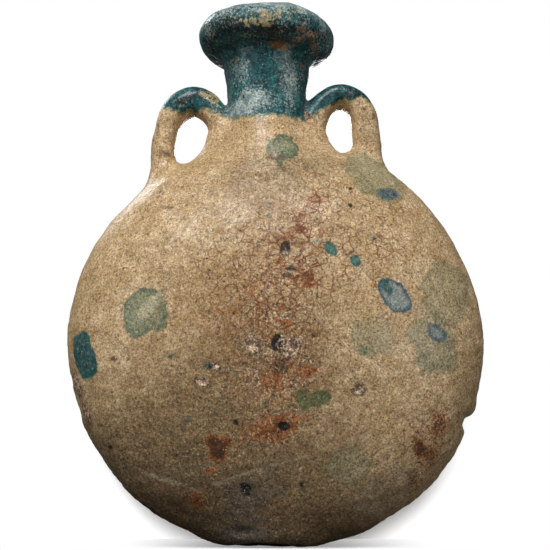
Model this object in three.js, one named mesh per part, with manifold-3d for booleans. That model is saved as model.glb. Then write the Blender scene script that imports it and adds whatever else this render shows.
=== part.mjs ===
// A two-handled pilgrim flask in glazed earthenware.
//
// The potter made it in pieces and luted them together with slip: two shallow bowls thrown on the
// wheel and joined rim to rim, a clay coil pressed into the join, a thrown neck seated over a hole
// cut through the join, a thick ring of clay round the mouth, and two loop handles. Fillets of wet
// clay were smoothed round the foot of the neck and round the outer foot of each handle.
//
// Millimetres. +Z is up along the neck, -Y is the front, +X is to the right seen from the front.
// The origin is under the middle of the body, on the flat worn into its lower edge.

import * as THREE from "three";
import { mergeVertices } from "three/addons/utils/BufferGeometryUtils.js";
import Module from "manifold-3d";

const wasm = await Module();
wasm.setup();

// Body: two bowls, rim to rim. Their rims lie on the plane y = 0.
const bodyWidth = 231;
const bodyHeight = 225.8;
const bodyDepth = 104;
const bowlBluntness = 2.3; // 2 gives an ellipse in section, more gives a fuller, blunter edge
const bowlFloorWall = 6.5;
const bowlRimWall = 9.5;
const restCut = 2.2; // how much of the lower edge is worn flat

// Throwing rings left by the potter's fingers inside each bowl.
const throwingRings = 4;
const throwingRingDepth = 0.7;

// The luting coil in the V-groove round the join.
const grooveDepth = 4.5;
const grooveHalfWidth = 3.6;
const coilProud = 0.6;

// The film of slip in every luted joint.
const slip = 0.3;

// Neck. It stands a little to the left of the body's middle, as joined by hand.
const neckOffset = -5.5;
const neckFootRadius = 24;
const neckWaistRadius = 23.1;
const neckTopRadius = 25.8;
const neckBoreRadius = 16;
const neckLength = 62; // from the top of the body's edge to the end inside the mouth ring
const neckWaistAt = 0.4; // where the waist is, as a share of the neck's length

// Ring round the mouth: a thick roll whose socket takes the end of the neck.
const ringOuterRadius = 39.6;
const ringCrestRadius = 27.4; // from the neck's axis to the top and to the underside of the roll
const ringHeight = 20.8;
const ringLean = 1.5; // degrees, the right side low
const socketDepth = 7.5;
const mouthFunnelRise = 3.5; // how far the bore runs on above the socket before the mouth opens

// Clay fillets smoothed round the foot of the neck, front and back.
const neckFilletWidth = 12; // measured down the body's skin
const neckFilletHeight = 15;

// Clay fillet round the outer foot of each handle: it curves away from the leg and then runs down
// straight until it meets the body.
const footFilletRadius = 15;
const footFilletSpreadAngle = 35; // degrees between its straight side and the leg
const footFilletDepthShare = 0.5; // how much of that it spreads to the front and back

// A fillet's thin edge, where the clay was feathered out over its neighbour.
const featherEdge = 0.5;

// Loop handles: a flattened roll of clay, wider from front to back than it is thick, thinned over
// the crown and pressed wider where its ends were luted on.
const handleDepth = 20;
const handleSquareness = 2.6; // 2 gives an oval section, more gives flatter faces
const handleSpread = 1.8; // how much a leg is widened on each side where it meets the body
const handleSpreadHeight = 11; // how far up the leg the widening starts
const handleSink = 22; // how far a leg's roll runs into the body before it is cut to fit
const handleThinningFrom = 0.4; // where a leg starts to thin, as a share of the crown's height
// Distances out are from the side of the neck's foot, and heights from the top of the body's edge.
const leftHandle = {
  side: -1,
  crownThickness: 14.2,
  legThickness: 15.4,
  innerFootOut: 8,
  springOut: 2.6,
  springHeight: 8,
  haunchOut: 7.4,
  haunchHeight: 23.4,
  crownOut: 16.8,
  crownHeight: 28,
  shoulderOut: 29.2,
  shoulderHeight: 20,
  outerOut: 34.4,
  outerHeight: 0,
  footOut: 33.5,
  filletRise: 1.2, // how far above the body, uphill of the leg, the fillet starts
};
const rightHandle = {
  side: 1,
  crownThickness: 12.2,
  legThickness: 16.8,
  innerFootOut: 7,
  springOut: 3.2,
  springHeight: 8,
  haunchOut: 9.4,
  haunchHeight: 25.4,
  crownOut: 18.5,
  crownHeight: 30.3,
  shoulderOut: 28.8,
  shoulderHeight: 23.2,
  outerOut: 32.6,
  outerHeight: 3,
  footOut: 32.5,
  filletRise: 4.2,
};

// Fineness of the facets.
const bodySegments = 56;
const roundSegments = 36;
const outerSkinSteps = 11;
const innerSkinSteps = 12;
const neckSteps = 7;
const rollSteps = 12;
const funnelSteps = 5;
const handleSteps = 22;
const handleSides = 14;
const neckFilletSteps = 4;
const footFilletSteps = 7;
const filletSegments = 36;

const bodyRadius = bodyWidth / 2;
const bodyHalfHeight = bodyHeight / 2;
const bowlDepth = bodyDepth / 2;
const bodyCentreZ = bodyHalfHeight - restCut;
const bodyTopZ = bodyCentreZ + bodyHalfHeight;
const neckEndZ = bodyTopZ + neckLength;

// Tools shared by the pieces

function solidFrom(geometry) {
  const bare = geometry.clone();
  bare.deleteAttribute("normal");
  bare.deleteAttribute("uv");
  const merged = mergeVertices(bare, 1e-4);
  const corners = merged.index.array;
  const triangles = [];
  for (let i = 0; i < corners.length; i += 3) {
    const [a, b, c] = [corners[i], corners[i + 1], corners[i + 2]];
    // A lathe's faces close up to a line where the profile meets the axis.
    if (a !== b && b !== c && c !== a) {
      triangles.push(a, b, c);
    }
  }
  return new wasm.Manifold(
    new wasm.Mesh({
      numProp: 3,
      vertProperties: merged.attributes.position.array,
      triVerts: new Uint32Array(triangles),
    }),
  );
}

function geometryFrom(solid) {
  const mesh = solid.getMesh();
  const indexed = new THREE.BufferGeometry();
  indexed.setAttribute("position", new THREE.BufferAttribute(new Float32Array(mesh.vertProperties), 3));
  indexed.setIndex(new THREE.BufferAttribute(new Uint32Array(mesh.triVerts), 1));
  const facets = indexed.toNonIndexed();
  facets.computeVertexNormals();
  return facets;
}

// A closed skin over rings of points, each ring joined to the next. The ends are capped, unless the
// last ring joins the first.
function loft(rings, endless = false) {
  const sides = rings[0].length;
  const spans = endless ? rings.length : rings.length - 1;
  const index = [];
  for (let i = 0; i < spans; i++) {
    const here = i * sides;
    const there = ((i + 1) % rings.length) * sides;
    for (let j = 0; j < sides; j++) {
      const next = (j + 1) % sides;
      index.push(here + j, there + next, here + next);
      index.push(here + j, there + j, there + next);
    }
  }
  if (!endless) {
    const last = (rings.length - 1) * sides;
    for (let j = 1; j < sides - 1; j++) {
      index.push(0, j, j + 1);
      index.push(last, last + j + 1, last + j);
    }
  }
  const places = rings.flat().flatMap((p) => p.toArray());
  const geometry = new THREE.BufferGeometry();
  geometry.setAttribute("position", new THREE.Float32BufferAttribute(places, 3));
  geometry.setIndex(index);
  return solidFrom(geometry);
}

// A block that reaches past the whole flask, used to cut away one side of a piece.
function block(lowZ, highZ, lowY, highY) {
  const reach = 2 * (bodyWidth + bodyHeight + bodyDepth);
  const geometry = new THREE.BoxGeometry(reach, highY - lowY, highZ - lowZ);
  geometry.translate(0, (lowY + highY) / 2, (lowZ + highZ) / 2);
  return solidFrom(geometry);
}

// Body

// A bowl's skin as a superellipse from its pole to its rim. Each point is the distance from the
// bowl's axis and the distance from the plane of the rims. The ripple is the throwing rings.
function bowlSkin(radius, depth, steps, ripple) {
  const power = 2 / bowlBluntness;
  const points = [];
  for (let i = 0; i <= steps; i++) {
    const share = i / steps;
    const angle = (share * Math.PI) / 2;
    const fade = Math.sin(share * Math.PI);
    const wave = ripple * fade * Math.sin(2 * Math.PI * throwingRings * share);
    const out = Math.pow(Math.sin(angle), power) * (radius - wave);
    const deep = Math.pow(Math.max(Math.cos(angle), 0), power) * (depth - wave);
    points.push(new THREE.Vector2(out, deep));
  }
  return points;
}

// The bowl's outer radius at a distance from the plane of the rims.
function skinRadius(deep) {
  const share = 1 - Math.pow(deep / bowlDepth, bowlBluntness);
  return bodyRadius * Math.pow(Math.max(share, 0), 1 / bowlBluntness);
}

// The height of the body's upper skin over a point.
function skinHeight(x, y) {
  const share = skinRadius(Math.abs(y)) / bodyRadius;
  const drop = share * share - (x / bodyRadius) ** 2;
  return bodyCentreZ + bodyHalfHeight * Math.sqrt(Math.max(drop, 0));
}

// Turns a profile about the body's axis, and makes the round as tall as the body. Facing is 1 to
// leave a bowl's pole at the back, or -1 to turn it to the front.
function turnedOnBodyAxis(profile, facing = 1) {
  const geometry = new THREE.LatheGeometry(profile, bodySegments);
  geometry.rotateZ(facing < 0 ? Math.PI : 0);
  geometry.scale(1, 1, bodyHeight / bodyWidth);
  geometry.translate(0, 0, bodyCentreZ);
  return solidFrom(geometry);
}

// The round hole that the neck opens into, cut down through the join as far as the hollow.
function neckHole() {
  const geometry = new THREE.CylinderGeometry(neckBoreRadius, neckBoreRadius, bodyHeight, roundSegments);
  geometry.rotateX(Math.PI / 2);
  geometry.translate(neckOffset, 0, bodyCentreZ + bodyHeight / 2);
  return solidFrom(geometry);
}

function belowRest() {
  return block(-bodyHeight, 0, -bodyDepth, bodyDepth);
}

// One bowl, opening towards the join: outer skin, bevel for the coil, flat rim and rippled inside.
function bowlSolid(facing) {
  const outer = bowlSkin(bodyRadius, bowlDepth, outerSkinSteps, 0);
  outer.pop();
  const inner = bowlSkin(bodyRadius - bowlRimWall, bowlDepth - bowlFloorWall, innerSkinSteps, throwingRingDepth);
  inner.pop();
  const profile = [
    ...outer,
    new THREE.Vector2(skinRadius(grooveHalfWidth), grooveHalfWidth),
    new THREE.Vector2(bodyRadius - grooveDepth, slip / 2),
    new THREE.Vector2(bodyRadius - bowlRimWall, slip / 2),
    ...inner.reverse(),
  ];
  return turnedOnBodyAxis(profile.reverse(), facing).subtract(neckHole()).subtract(belowRest());
}

// The coil fills the groove, with a film of slip on both sides, and stands a little proud.
function seamCoilSolid() {
  const bevel = Math.atan2(grooveHalfWidth, skinRadius(grooveHalfWidth) - bodyRadius + grooveDepth);
  const apex = bodyRadius - grooveDepth + slip / Math.sin(bevel);
  const halfWidth = grooveHalfWidth - slip / Math.cos(bevel);
  const edge = skinRadius(grooveHalfWidth);
  const crown = bodyRadius + coilProud;
  const profile = [
    new THREE.Vector2(apex, 0),
    new THREE.Vector2(edge, -halfWidth),
    new THREE.Vector2(crown, -halfWidth / 2),
    new THREE.Vector2(crown, halfWidth / 2),
    new THREE.Vector2(edge, halfWidth),
    new THREE.Vector2(apex, 0),
  ];
  return turnedOnBodyAxis(profile).subtract(neckHole()).subtract(belowRest());
}

// The whole body with the film of slip over it: what every piece luted on top is cut to fit.
function bodySeat() {
  const outer = bowlSkin(bodyRadius + slip, bowlDepth + slip, outerSkinSteps, 0);
  outer.pop();
  const back = [
    ...outer,
    new THREE.Vector2(skinRadius(grooveHalfWidth) + slip, grooveHalfWidth + slip),
    new THREE.Vector2(bodyRadius + coilProud + slip, grooveHalfWidth / 2 + slip),
  ];
  const front = back.map((p) => new THREE.Vector2(p.x, -p.y)).reverse();
  return turnedOnBodyAxis([...back, ...front].reverse());
}

// Neck

// The neck's outer radius at a height above the top of the body's edge.
function neckRadius(height) {
  const share = THREE.MathUtils.clamp(height / neckLength, 0, 1);
  if (share < neckWaistAt) {
    return neckWaistRadius + (neckFootRadius - neckWaistRadius) * (1 - share / neckWaistAt) ** 2;
  }
  return neckWaistRadius + (neckTopRadius - neckWaistRadius) * ((share - neckWaistAt) / (1 - neckWaistAt)) ** 2;
}

// Turns a profile about the neck's axis.
function turnedOnNeckAxis(profile) {
  const geometry = new THREE.LatheGeometry(profile, roundSegments);
  geometry.rotateX(Math.PI / 2);
  geometry.translate(neckOffset, 0, 0);
  return solidFrom(geometry);
}

// The neck's outer side from the body's middle up to its end. Slip is added all round for a socket.
function neckSide(film) {
  const points = [new THREE.Vector2(neckRadius(0) + film, bodyCentreZ)];
  for (let i = 0; i <= neckSteps; i++) {
    const height = (neckLength * i) / neckSteps;
    points.push(new THREE.Vector2(neckRadius(height) + film, bodyTopZ + height));
  }
  points[neckSteps + 1].y += film;
  return points;
}

function neckSocket() {
  return turnedOnNeckAxis([
    new THREE.Vector2(0, bodyCentreZ),
    ...neckSide(slip),
    new THREE.Vector2(0, neckEndZ + slip),
  ]);
}

function neckSolid(seat) {
  return turnedOnNeckAxis([
    new THREE.Vector2(neckBoreRadius, bodyCentreZ),
    ...neckSide(0),
    new THREE.Vector2(neckBoreRadius, neckEndZ),
    new THREE.Vector2(neckBoreRadius, bodyCentreZ),
  ]).subtract(seat);
}

// The mouth ring's roll, with the bore below, opening in a funnel to the top of the roll.
function mouthRingSolid(socket) {
  const halfHeight = ringHeight / 2;
  const throat = socketDepth - halfHeight + mouthFunnelRise;
  const profile = [];
  for (let i = 0; i <= rollSteps; i++) {
    const angle = -Math.PI / 2 + (Math.PI * i) / rollSteps;
    const out = ringCrestRadius + (ringOuterRadius - ringCrestRadius) * Math.cos(angle);
    profile.push(new THREE.Vector2(out, halfHeight * Math.sin(angle)));
  }
  for (let i = 1; i <= funnelSteps; i++) {
    const angle = (Math.PI / 2) * (1 - i / funnelSteps);
    const out = ringCrestRadius - (ringCrestRadius - neckBoreRadius) * Math.cos(angle);
    profile.push(new THREE.Vector2(out, throat + (halfHeight - throat) * Math.sin(angle)));
  }
  profile.push(new THREE.Vector2(neckBoreRadius, -halfHeight));
  profile.push(profile[0].clone());
  const geometry = new THREE.LatheGeometry(profile, roundSegments);
  geometry.rotateX(Math.PI / 2);
  geometry.rotateY(THREE.MathUtils.degToRad(ringLean));
  geometry.translate(neckOffset, 0, neckEndZ - socketDepth + halfHeight);
  return solidFrom(geometry).subtract(socket);
}

// Handles

// The middle line of a handle, from inside the body beside the neck, over the crown and down into
// the shoulder. It lies in the plane of the join.
function handleLine(handle) {
  const place = (out, height) => {
    return new THREE.Vector3(neckOffset + handle.side * (neckFootRadius + out), 0, bodyTopZ + height);
  };
  const sunk = (out) => {
    const end = place(out, 0);
    end.z = skinHeight(end.x, 0) - handleSink;
    return end;
  };
  return new THREE.CatmullRomCurve3([
    sunk(handle.innerFootOut),
    place(handle.springOut, handle.springHeight),
    place(handle.haunchOut, handle.haunchHeight),
    place(handle.crownOut, handle.crownHeight),
    place(handle.shoulderOut, handle.shoulderHeight),
    place(handle.outerOut, handle.outerHeight),
    sunk(handle.footOut),
  ]);
}

// One section of the flattened roll, square to the middle line. Share runs from 0 to 1 along the
// line. The films are added to its thickness and to its depth.
function handleRing(handle, line, share, thickFilm, deepFilm) {
  const middle = line.getPointAt(share);
  const along = line.getTangentAt(share);
  const across = new THREE.Vector3(-along.z, 0, along.x);
  const height = middle.z - bodyTopZ;
  const thin = THREE.MathUtils.smoothstep(height, handleThinningFrom * handle.crownHeight, handle.crownHeight);
  const aboveBody = Math.min(share, 1 - share) * line.getLength() - handleSink;
  const spread = handleSpread * THREE.MathUtils.clamp(1 - aboveBody / handleSpreadHeight, 0, 1) ** 2;
  const halfThick = THREE.MathUtils.lerp(handle.legThickness, handle.crownThickness, thin) / 2 + spread + thickFilm;
  const halfDeep = handleDepth / 2 + spread / 2 + deepFilm;
  const power = 2 / handleSquareness;
  const ring = [];
  for (let j = 0; j < handleSides; j++) {
    const angle = (2 * Math.PI * j) / handleSides;
    const [c, s] = [Math.cos(angle), Math.sin(angle)];
    const thick = halfThick * Math.sign(c) * Math.pow(Math.abs(c), power);
    const deep = halfDeep * Math.sign(s) * Math.pow(Math.abs(s), power);
    ring.push(middle.clone().addScaledVector(across, thick).add(new THREE.Vector3(0, deep, 0)));
  }
  return ring;
}

// The roll before it is cut to fit. The film is added all round.
function handleRoll(handle, film) {
  const line = handleLine(handle);
  const rings = [];
  for (let i = 0; i <= handleSteps; i++) {
    rings.push(handleRing(handle, line, i / handleSteps, film, film));
  }
  return loft(rings);
}

function handleSolid(handle, seat, socket) {
  return handleRoll(handle, 0).subtract(seat).subtract(socket);
}

// Fillets

// Half of the clay fillet round the foot of the neck, in front or behind. Its toe runs out level with
// the body's skin and its top is feathered up the neck. The handles' inner legs stand in it.
function neckFilletSolid(side, seat, socket, rolls) {
  const rings = [];
  for (let i = 0; i < filletSegments; i++) {
    const angle = (2 * Math.PI * i) / filletSegments;
    const at = (out, z) => {
      return new THREE.Vector3(neckOffset + out * Math.cos(angle), out * Math.sin(angle), z);
    };
    const skinAt = (out) => {
      const point = at(out, 0);
      return skinHeight(point.x, point.y);
    };
    const fall = skinAt(neckFootRadius) - skinAt(neckFootRadius + neckFilletWidth);
    const toe = neckFootRadius + neckFilletWidth ** 2 / Math.hypot(neckFilletWidth, fall);
    const steepness = (skinAt(toe - featherEdge) - skinAt(toe + featherEdge)) / (2 * featherEdge);
    const edge = slip + featherEdge;
    const corner = skinAt(toe) + edge + steepness * (toe - neckFootRadius - edge);
    const top = corner + neckFilletHeight;
    const sweep = new THREE.QuadraticBezierCurve(
      new THREE.Vector2(toe, skinAt(toe) + edge),
      new THREE.Vector2(neckFootRadius + edge, corner),
      new THREE.Vector2(neckRadius(top - bodyTopZ) + edge, top),
    );
    rings.push([
      at(neckBoreRadius, top),
      at(neckBoreRadius, bodyCentreZ),
      at(toe, bodyCentreZ),
      ...sweep.getPoints(neckFilletSteps).map((point) => at(point.x, point.y)),
    ]);
  }
  const near = side < 0 ? -bodyDepth : slip / 2;
  const far = side < 0 ? -slip / 2 : bodyDepth;
  const half = block(bodyCentreZ, neckEndZ, near, far);
  return rolls.reduce(
    (clay, roll) => clay.subtract(roll),
    loft(rings, true).intersect(half).subtract(seat).subtract(socket),
  );
}

// The clay fillet round a handle's outer foot: a sleeve on the leg that curves away to the body. The
// body rises towards the neck, so the sleeve starts above the body's skin on the leg's uphill side.
function footFilletSolid(handle, seat, roll) {
  const line = handleLine(handle);
  const footX = line.getPointAt(1).x;
  const uphillX = footX - handle.side * (handle.legThickness / 2 + slip + featherEdge);
  const uphill = skinHeight(uphillX, 0) - skinHeight(footX, 0);
  const height = handleSink + uphill + handle.filletRise;
  const start = 1 - height / line.getLength();
  const slope = Math.tan(THREE.MathUtils.degToRad(footFilletSpreadAngle));
  const rings = [];
  for (let i = 0; i <= footFilletSteps; i++) {
    const down = i / footFilletSteps;
    const curved = Math.min(height * down, footFilletRadius * slope);
    const straight = height * down - curved;
    const flare = curved ** 2 / (2 * footFilletRadius) + straight * slope;
    const edge = slip + featherEdge;
    const share = start + (1 - start) * down;
    rings.push(handleRing(handle, line, share, edge + flare, edge + flare * footFilletDepthShare));
  }
  return loft(rings).subtract(seat).subtract(roll);
}

// Materials

const creamGlaze = new THREE.MeshStandardMaterial({ color: 0xb59b74, roughness: 0.45, metalness: 0 });
const turquoiseGlaze = new THREE.MeshStandardMaterial({ color: 0x3c6c6a, roughness: 0.4, metalness: 0 });

// The flask put together

const seat = bodySeat();
const socket = neckSocket();
const leftRoll = handleRoll(leftHandle, slip);
const rightRoll = handleRoll(rightHandle, slip);
const flask = new THREE.Group();

function add(name, solid, material) {
  const mesh = new THREE.Mesh(geometryFrom(solid), material);
  mesh.name = name;
  flask.add(mesh);
  return mesh;
}

add("front_bowl", bowlSolid(-1), creamGlaze);
add("back_bowl", bowlSolid(1), creamGlaze);
add("seam_coil", seamCoilSolid(), creamGlaze);
add("neck", neckSolid(seat), turquoiseGlaze);
add("mouth_ring", mouthRingSolid(socket), turquoiseGlaze);
add("left_handle", handleSolid(leftHandle, seat, socket), creamGlaze);
add("right_handle", handleSolid(rightHandle, seat, socket), creamGlaze);
add("front_neck_fillet", neckFilletSolid(-1, seat, socket, [leftRoll, rightRoll]), creamGlaze);
add("back_neck_fillet", neckFilletSolid(1, seat, socket, [leftRoll, rightRoll]), creamGlaze);
add("left_foot_fillet", footFilletSolid(leftHandle, seat, leftRoll), creamGlaze);
add("right_foot_fillet", footFilletSolid(rightHandle, seat, rightRoll), creamGlaze);

export default flask;
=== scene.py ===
"""A glazed pilgrim flask, finished over its packed construction.

Metres. +Z is up along the neck, -Y is the front, +X is to the right seen from the front.
"""

import math
from functools import partial

import bmesh
import bpy
import numpy as np
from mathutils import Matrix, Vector


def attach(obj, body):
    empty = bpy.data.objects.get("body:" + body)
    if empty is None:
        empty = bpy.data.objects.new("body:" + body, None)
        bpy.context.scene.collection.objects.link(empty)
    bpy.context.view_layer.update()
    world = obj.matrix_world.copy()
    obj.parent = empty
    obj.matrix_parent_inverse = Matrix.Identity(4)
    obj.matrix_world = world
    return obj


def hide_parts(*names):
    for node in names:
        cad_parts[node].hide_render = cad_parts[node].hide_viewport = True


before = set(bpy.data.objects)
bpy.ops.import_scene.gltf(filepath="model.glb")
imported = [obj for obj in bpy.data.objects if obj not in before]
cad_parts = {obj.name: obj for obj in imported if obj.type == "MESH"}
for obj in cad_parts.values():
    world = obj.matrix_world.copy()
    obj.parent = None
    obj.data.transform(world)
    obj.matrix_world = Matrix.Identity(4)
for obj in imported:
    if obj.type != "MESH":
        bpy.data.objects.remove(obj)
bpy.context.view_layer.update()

mm = 0.001

# The body: two shallow bowls thrown on the wheel and luted rim to rim, so it is a disc with a
# swelling front and back. The join was smoothed down by hand, which left the edge a little wavy.

body_half_width = 115.5 * mm
body_half_height = 112.9 * mm
body_half_depth = 52 * mm
body_middle_z = 110.7 * mm
body_top_z = body_middle_z + body_half_height
bowl_bluntness = 2.3
edge_swellings = [  # (place round the edge in degrees clockwise from the neck, width, height in mm)
    (303, 22, 0.7),
    (235, 14, -0.3),
    (69, 14, -1.2),
    (37, 16, 1.7),
]


def superellipse_gap(a, b, half_a, half_b, power):
    """Distance to the superellipse |a/half_a|^n + |b/half_b|^n = 1, negative inside.

    It is right to first order: how far the level is from 1, over the steepness of the level."""
    u = np.maximum(np.abs(a) / half_a, 1e-5)
    v = np.maximum(np.abs(b) / half_b, 1e-5)
    level = (u**power + v**power) ** (1 / power)
    steepness = level ** (1 - power) * np.hypot(u ** (power - 1) / half_a, v ** (power - 1) / half_b)
    return (level - 1) / steepness


def edge_waver(turn):
    """How far the body's edge stands out at an angle from the neck: one smooth bump per swelling."""
    out = np.zeros_like(turn)
    for place, width, height in edge_swellings:
        away = (np.degrees(turn) - place + 180) % 360 - 180
        out += height * mm * np.exp(-((away / width) ** 2))
    return out


def body_gap(p):
    """Distance to the body's skin: a superellipse of revolution about the Y axis, scaled in height."""
    across, deep = p[:, 0], p[:, 1]
    up = (p[:, 2] - body_middle_z) * (body_half_width / body_half_height)
    out = np.hypot(across, up) - edge_waver(np.arctan2(across, up))
    return superellipse_gap(out, deep, body_half_width, body_half_depth, bowl_bluntness)


# The neck: a short thrown tube with a slight waist, set a little to the left of the middle.

neck_x = -5.5 * mm
neck_foot_radius = 24 * mm
neck_waist_radius = 23.1 * mm
neck_top_radius = 28.4 * mm
neck_bore = 16 * mm
neck_length = 62 * mm
neck_waist_at = 0.4
neck_end_z = body_top_z + neck_length


def neck_radius(z):
    """The neck's outer radius: one parabola from foot to waist and another from waist to top."""
    share = np.clip((z - body_top_z) / neck_length, 0, 1)
    below = neck_waist_radius + (neck_foot_radius - neck_waist_radius) * (1 - share / neck_waist_at) ** 2
    rise = (share - neck_waist_at) / (1 - neck_waist_at)
    above = neck_waist_radius + (neck_top_radius - neck_waist_radius) * rise**2
    return np.where(share < neck_waist_at, below, above)


def neck_gap(p):
    """Distance to the neck's wall, between its bore and its outside, and below its end."""
    out = np.hypot(p[:, 0] - neck_x, p[:, 1])
    wall = np.maximum(out - neck_radius(p[:, 2]), neck_bore - out)
    return np.maximum(wall, p[:, 2] - neck_end_z)


# The mouth: a thick roll of clay folded round the end of the neck. It leans a little to the right,
# and its crest is the circle midway through the roll.

ring_outer_radius = 39.6 * mm
ring_crest_radius = 27.4 * mm
ring_half_height = 10.9 * mm
ring_rise = 3 * mm
ring_middle_z = neck_end_z + ring_rise
ring_lean = math.radians(1.2)
ring_roundness = 2.1


def ring_place(p):
    """Distance out from the ring's axis and height along it."""
    across, up = p[:, 0] - neck_x, p[:, 2] - ring_middle_z
    leaning_across = across * math.cos(ring_lean) - up * math.sin(ring_lean)
    leaning_up = across * math.sin(ring_lean) + up * math.cos(ring_lean)
    return np.hypot(leaning_across, p[:, 1]), leaning_up


def ring_gap(p):
    """Distance to the roll: a superellipse section carried round the mouth."""
    out, up = ring_place(p)
    half_wide = ring_outer_radius - ring_crest_radius
    return superellipse_gap(out - ring_crest_radius, up, half_wide, ring_half_height, ring_roundness)


# The handles: each is a flattened roll of clay bent into a loop, with its inner leg beside the neck
# and its outer leg on the shoulder. It is thinned over the crown. Points are given from the side of
# the neck's foot outwards, and from the top of the body's edge upwards.

handle_half_depth = 10 * mm
handle_squareness = 2.4
handle_sink = 22 * mm
thinning_from = 0.4  # share of the crown's height at which the roll begins to thin
span_steps = 80
line_points = 240
bend_smoothing = 70  # passes that even out the bend of the roll
handle_reach = 30 * mm  # past this a handle touches nothing
points_at_once = 20000  # so that the table of distances to the line stays small
left_handle = dict(
    side=-1,
    crown_thickness=16.8 * mm,
    leg_thickness=13.8 * mm,
    inner_foot=8 * mm,
    arch=[(2.6, 8), (6.2, 20.2), (17.0, 28.0), (29.0, 21.4), (35.0, 4)],
    outer_foot=34.4 * mm,
)
right_handle = dict(
    side=1,
    crown_thickness=13.4 * mm,
    leg_thickness=16.6 * mm,
    inner_foot=6 * mm,
    arch=[(1.4, 8), (7.8, 24.6), (18.5, 30.6), (30.0, 24.0), (33.9, 3)],
    outer_foot=32.5 * mm,
)


def smooth_path(points, count):
    """A centripetal Catmull-Rom curve through the points: cubic spans whose knots lie the square root
    of the distance apart, walked at even steps of length."""
    ends = [2 * points[0] - points[1], *points, 2 * points[-1] - points[-2]]
    spans = []
    for a, b, c, d in zip(ends, ends[1:], ends[2:], ends[3:]):
        t1, t2, t3 = (math.sqrt(np.linalg.norm(q - p)) for p, q in ((a, b), (b, c), (c, d)))
        leave = (b - a) / t1 - (c - a) / (t1 + t2) + (c - b) / t2
        arrive = (c - b) / t2 - (d - b) / (t2 + t3) + (d - c) / t3
        s = np.linspace(0, 1, span_steps, endpoint=False)[:, None]
        spans.append(
            (2 * s**3 - 3 * s**2 + 1) * b
            + (s**3 - 2 * s**2 + s) * leave * t2
            + (3 * s**2 - 2 * s**3) * c
            + (s**3 - s**2) * arrive * t2
        )
    curve = np.vstack([*spans, points[-1][None]])
    run = np.concatenate([[0], np.cumsum(np.linalg.norm(np.diff(curve, axis=0), axis=1))])
    even = np.linspace(0, run[-1], count)
    return np.stack([np.interp(even, run, curve[:, i]) for i in range(curve.shape[1])], axis=1)


def handle_roll(handle):
    """The roll's middle line, the direction across it, and its half thickness, point by point.

    The line is a smooth path through the arch, and each smoothing pass makes a point half of itself
    and a quarter of each neighbour. The thickness passes from leg to crown by a cubic of the height."""
    side = handle["side"]

    def sunk(out):
        x = neck_x + side * (neck_foot_radius + out)
        skin_z = body_middle_z + body_half_height * math.sqrt(1 - (x / body_half_width) ** 2)
        return np.array([x, 0, skin_z - handle_sink])

    arch = [
        np.array([neck_x + side * (neck_foot_radius + out * mm), 0, body_top_z + height * mm])
        for out, height in handle["arch"]
    ]
    line = smooth_path([sunk(handle["inner_foot"]), *arch, sunk(handle["outer_foot"])], line_points)
    for _ in range(bend_smoothing):
        line[1:-1] = (line[:-2] + 2 * line[1:-1] + line[2:]) / 4
    along = np.gradient(line, axis=0)
    along /= np.linalg.norm(along, axis=1, keepdims=True)
    across = np.stack([-along[:, 2], along[:, 1], along[:, 0]], axis=1)
    crown_height = max(height for _, height in handle["arch"]) * mm
    climb = np.clip((line[:, 2] - body_top_z) / crown_height, thinning_from, 1)
    climb = climb / (1 - thinning_from) - thinning_from / (1 - thinning_from)
    thin = climb**2 * (3 - 2 * climb)
    thick = handle["leg_thickness"] + (handle["crown_thickness"] - handle["leg_thickness"]) * thin
    return line, across, thick / 2


for handle in (left_handle, right_handle):
    handle["roll"] = handle_roll(handle)


def handle_gap(handle, p):
    """Distance to the roll: a superellipse section carried along the nearest part of its middle line."""
    line, across, half_thick = handle["roll"]
    gap = np.full(len(p), handle_reach)
    near = np.all((p > line.min(0) - handle_reach) & (p < line.max(0) + handle_reach), axis=1)
    for rows in np.array_split(np.flatnonzero(near), 1 + near.sum() // points_at_once):
        q = p[rows]
        apart = (q[:, 0, None] - line[:, 0]) ** 2 + (q[:, 2, None] - line[:, 2]) ** 2
        nearest = apart.argmin(axis=1)
        beside = np.einsum("ij,ij->i", q - line[nearest], across[nearest])
        gap[rows] = superellipse_gap(
            beside, q[:, 1], half_thick[nearest], handle_half_depth, handle_squareness
        )
    return gap


# The joins: every piece was luted to the next with slip, and wet clay was smoothed into the corners,
# with wide fillets on the shoulder and tight ones where a handle touches the neck.

neck_fillet = 20 * mm
ring_fillet = 4 * mm
foot_fillet = 12 * mm
crotch_fillet = 3 * mm
tightening = (4 * mm, 16 * mm)  # heights above the body between which a handle's fillet gets tight
rest_rounding = 6 * mm


def joined(a, b, fillet):
    """The smooth minimum of two distances: the nearer one, less a parabola where they are alike."""
    alike = np.clip(1 - np.abs(a - b) / fillet, 0, None)
    return np.minimum(a, b) - alike**2 * fillet / 4


def smoothstep(low, high, value):
    """0 below low, 1 above high, and a cubic between them."""
    share = np.clip((value - low) / (high - low), 0, 1)
    return share**2 * (3 - 2 * share)


def unevenness(p, wavelength, height, seed, waves=24):
    """A smooth random field: the sum of plane waves in random directions and phases."""
    random = np.random.default_rng(seed)
    direction = random.normal(size=(waves, 3))
    direction /= np.linalg.norm(direction, axis=1, keepdims=True)
    lengths = wavelength * random.uniform(0.7, 1.5, waves)
    phase = random.uniform(0, 2 * math.pi, waves)
    total = np.zeros(len(p))
    for k, length, start in zip(direction, lengths, phase):
        total += np.sin(p @ k * (2 * math.pi / length) + start)
    return height * total / math.sqrt(waves / 2)


# Dents in the skin, seen from the front: place across and height above the rest flat, half length
# and half width in mm, lean in degrees, and depth in mm. Negative depths stand out.

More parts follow.
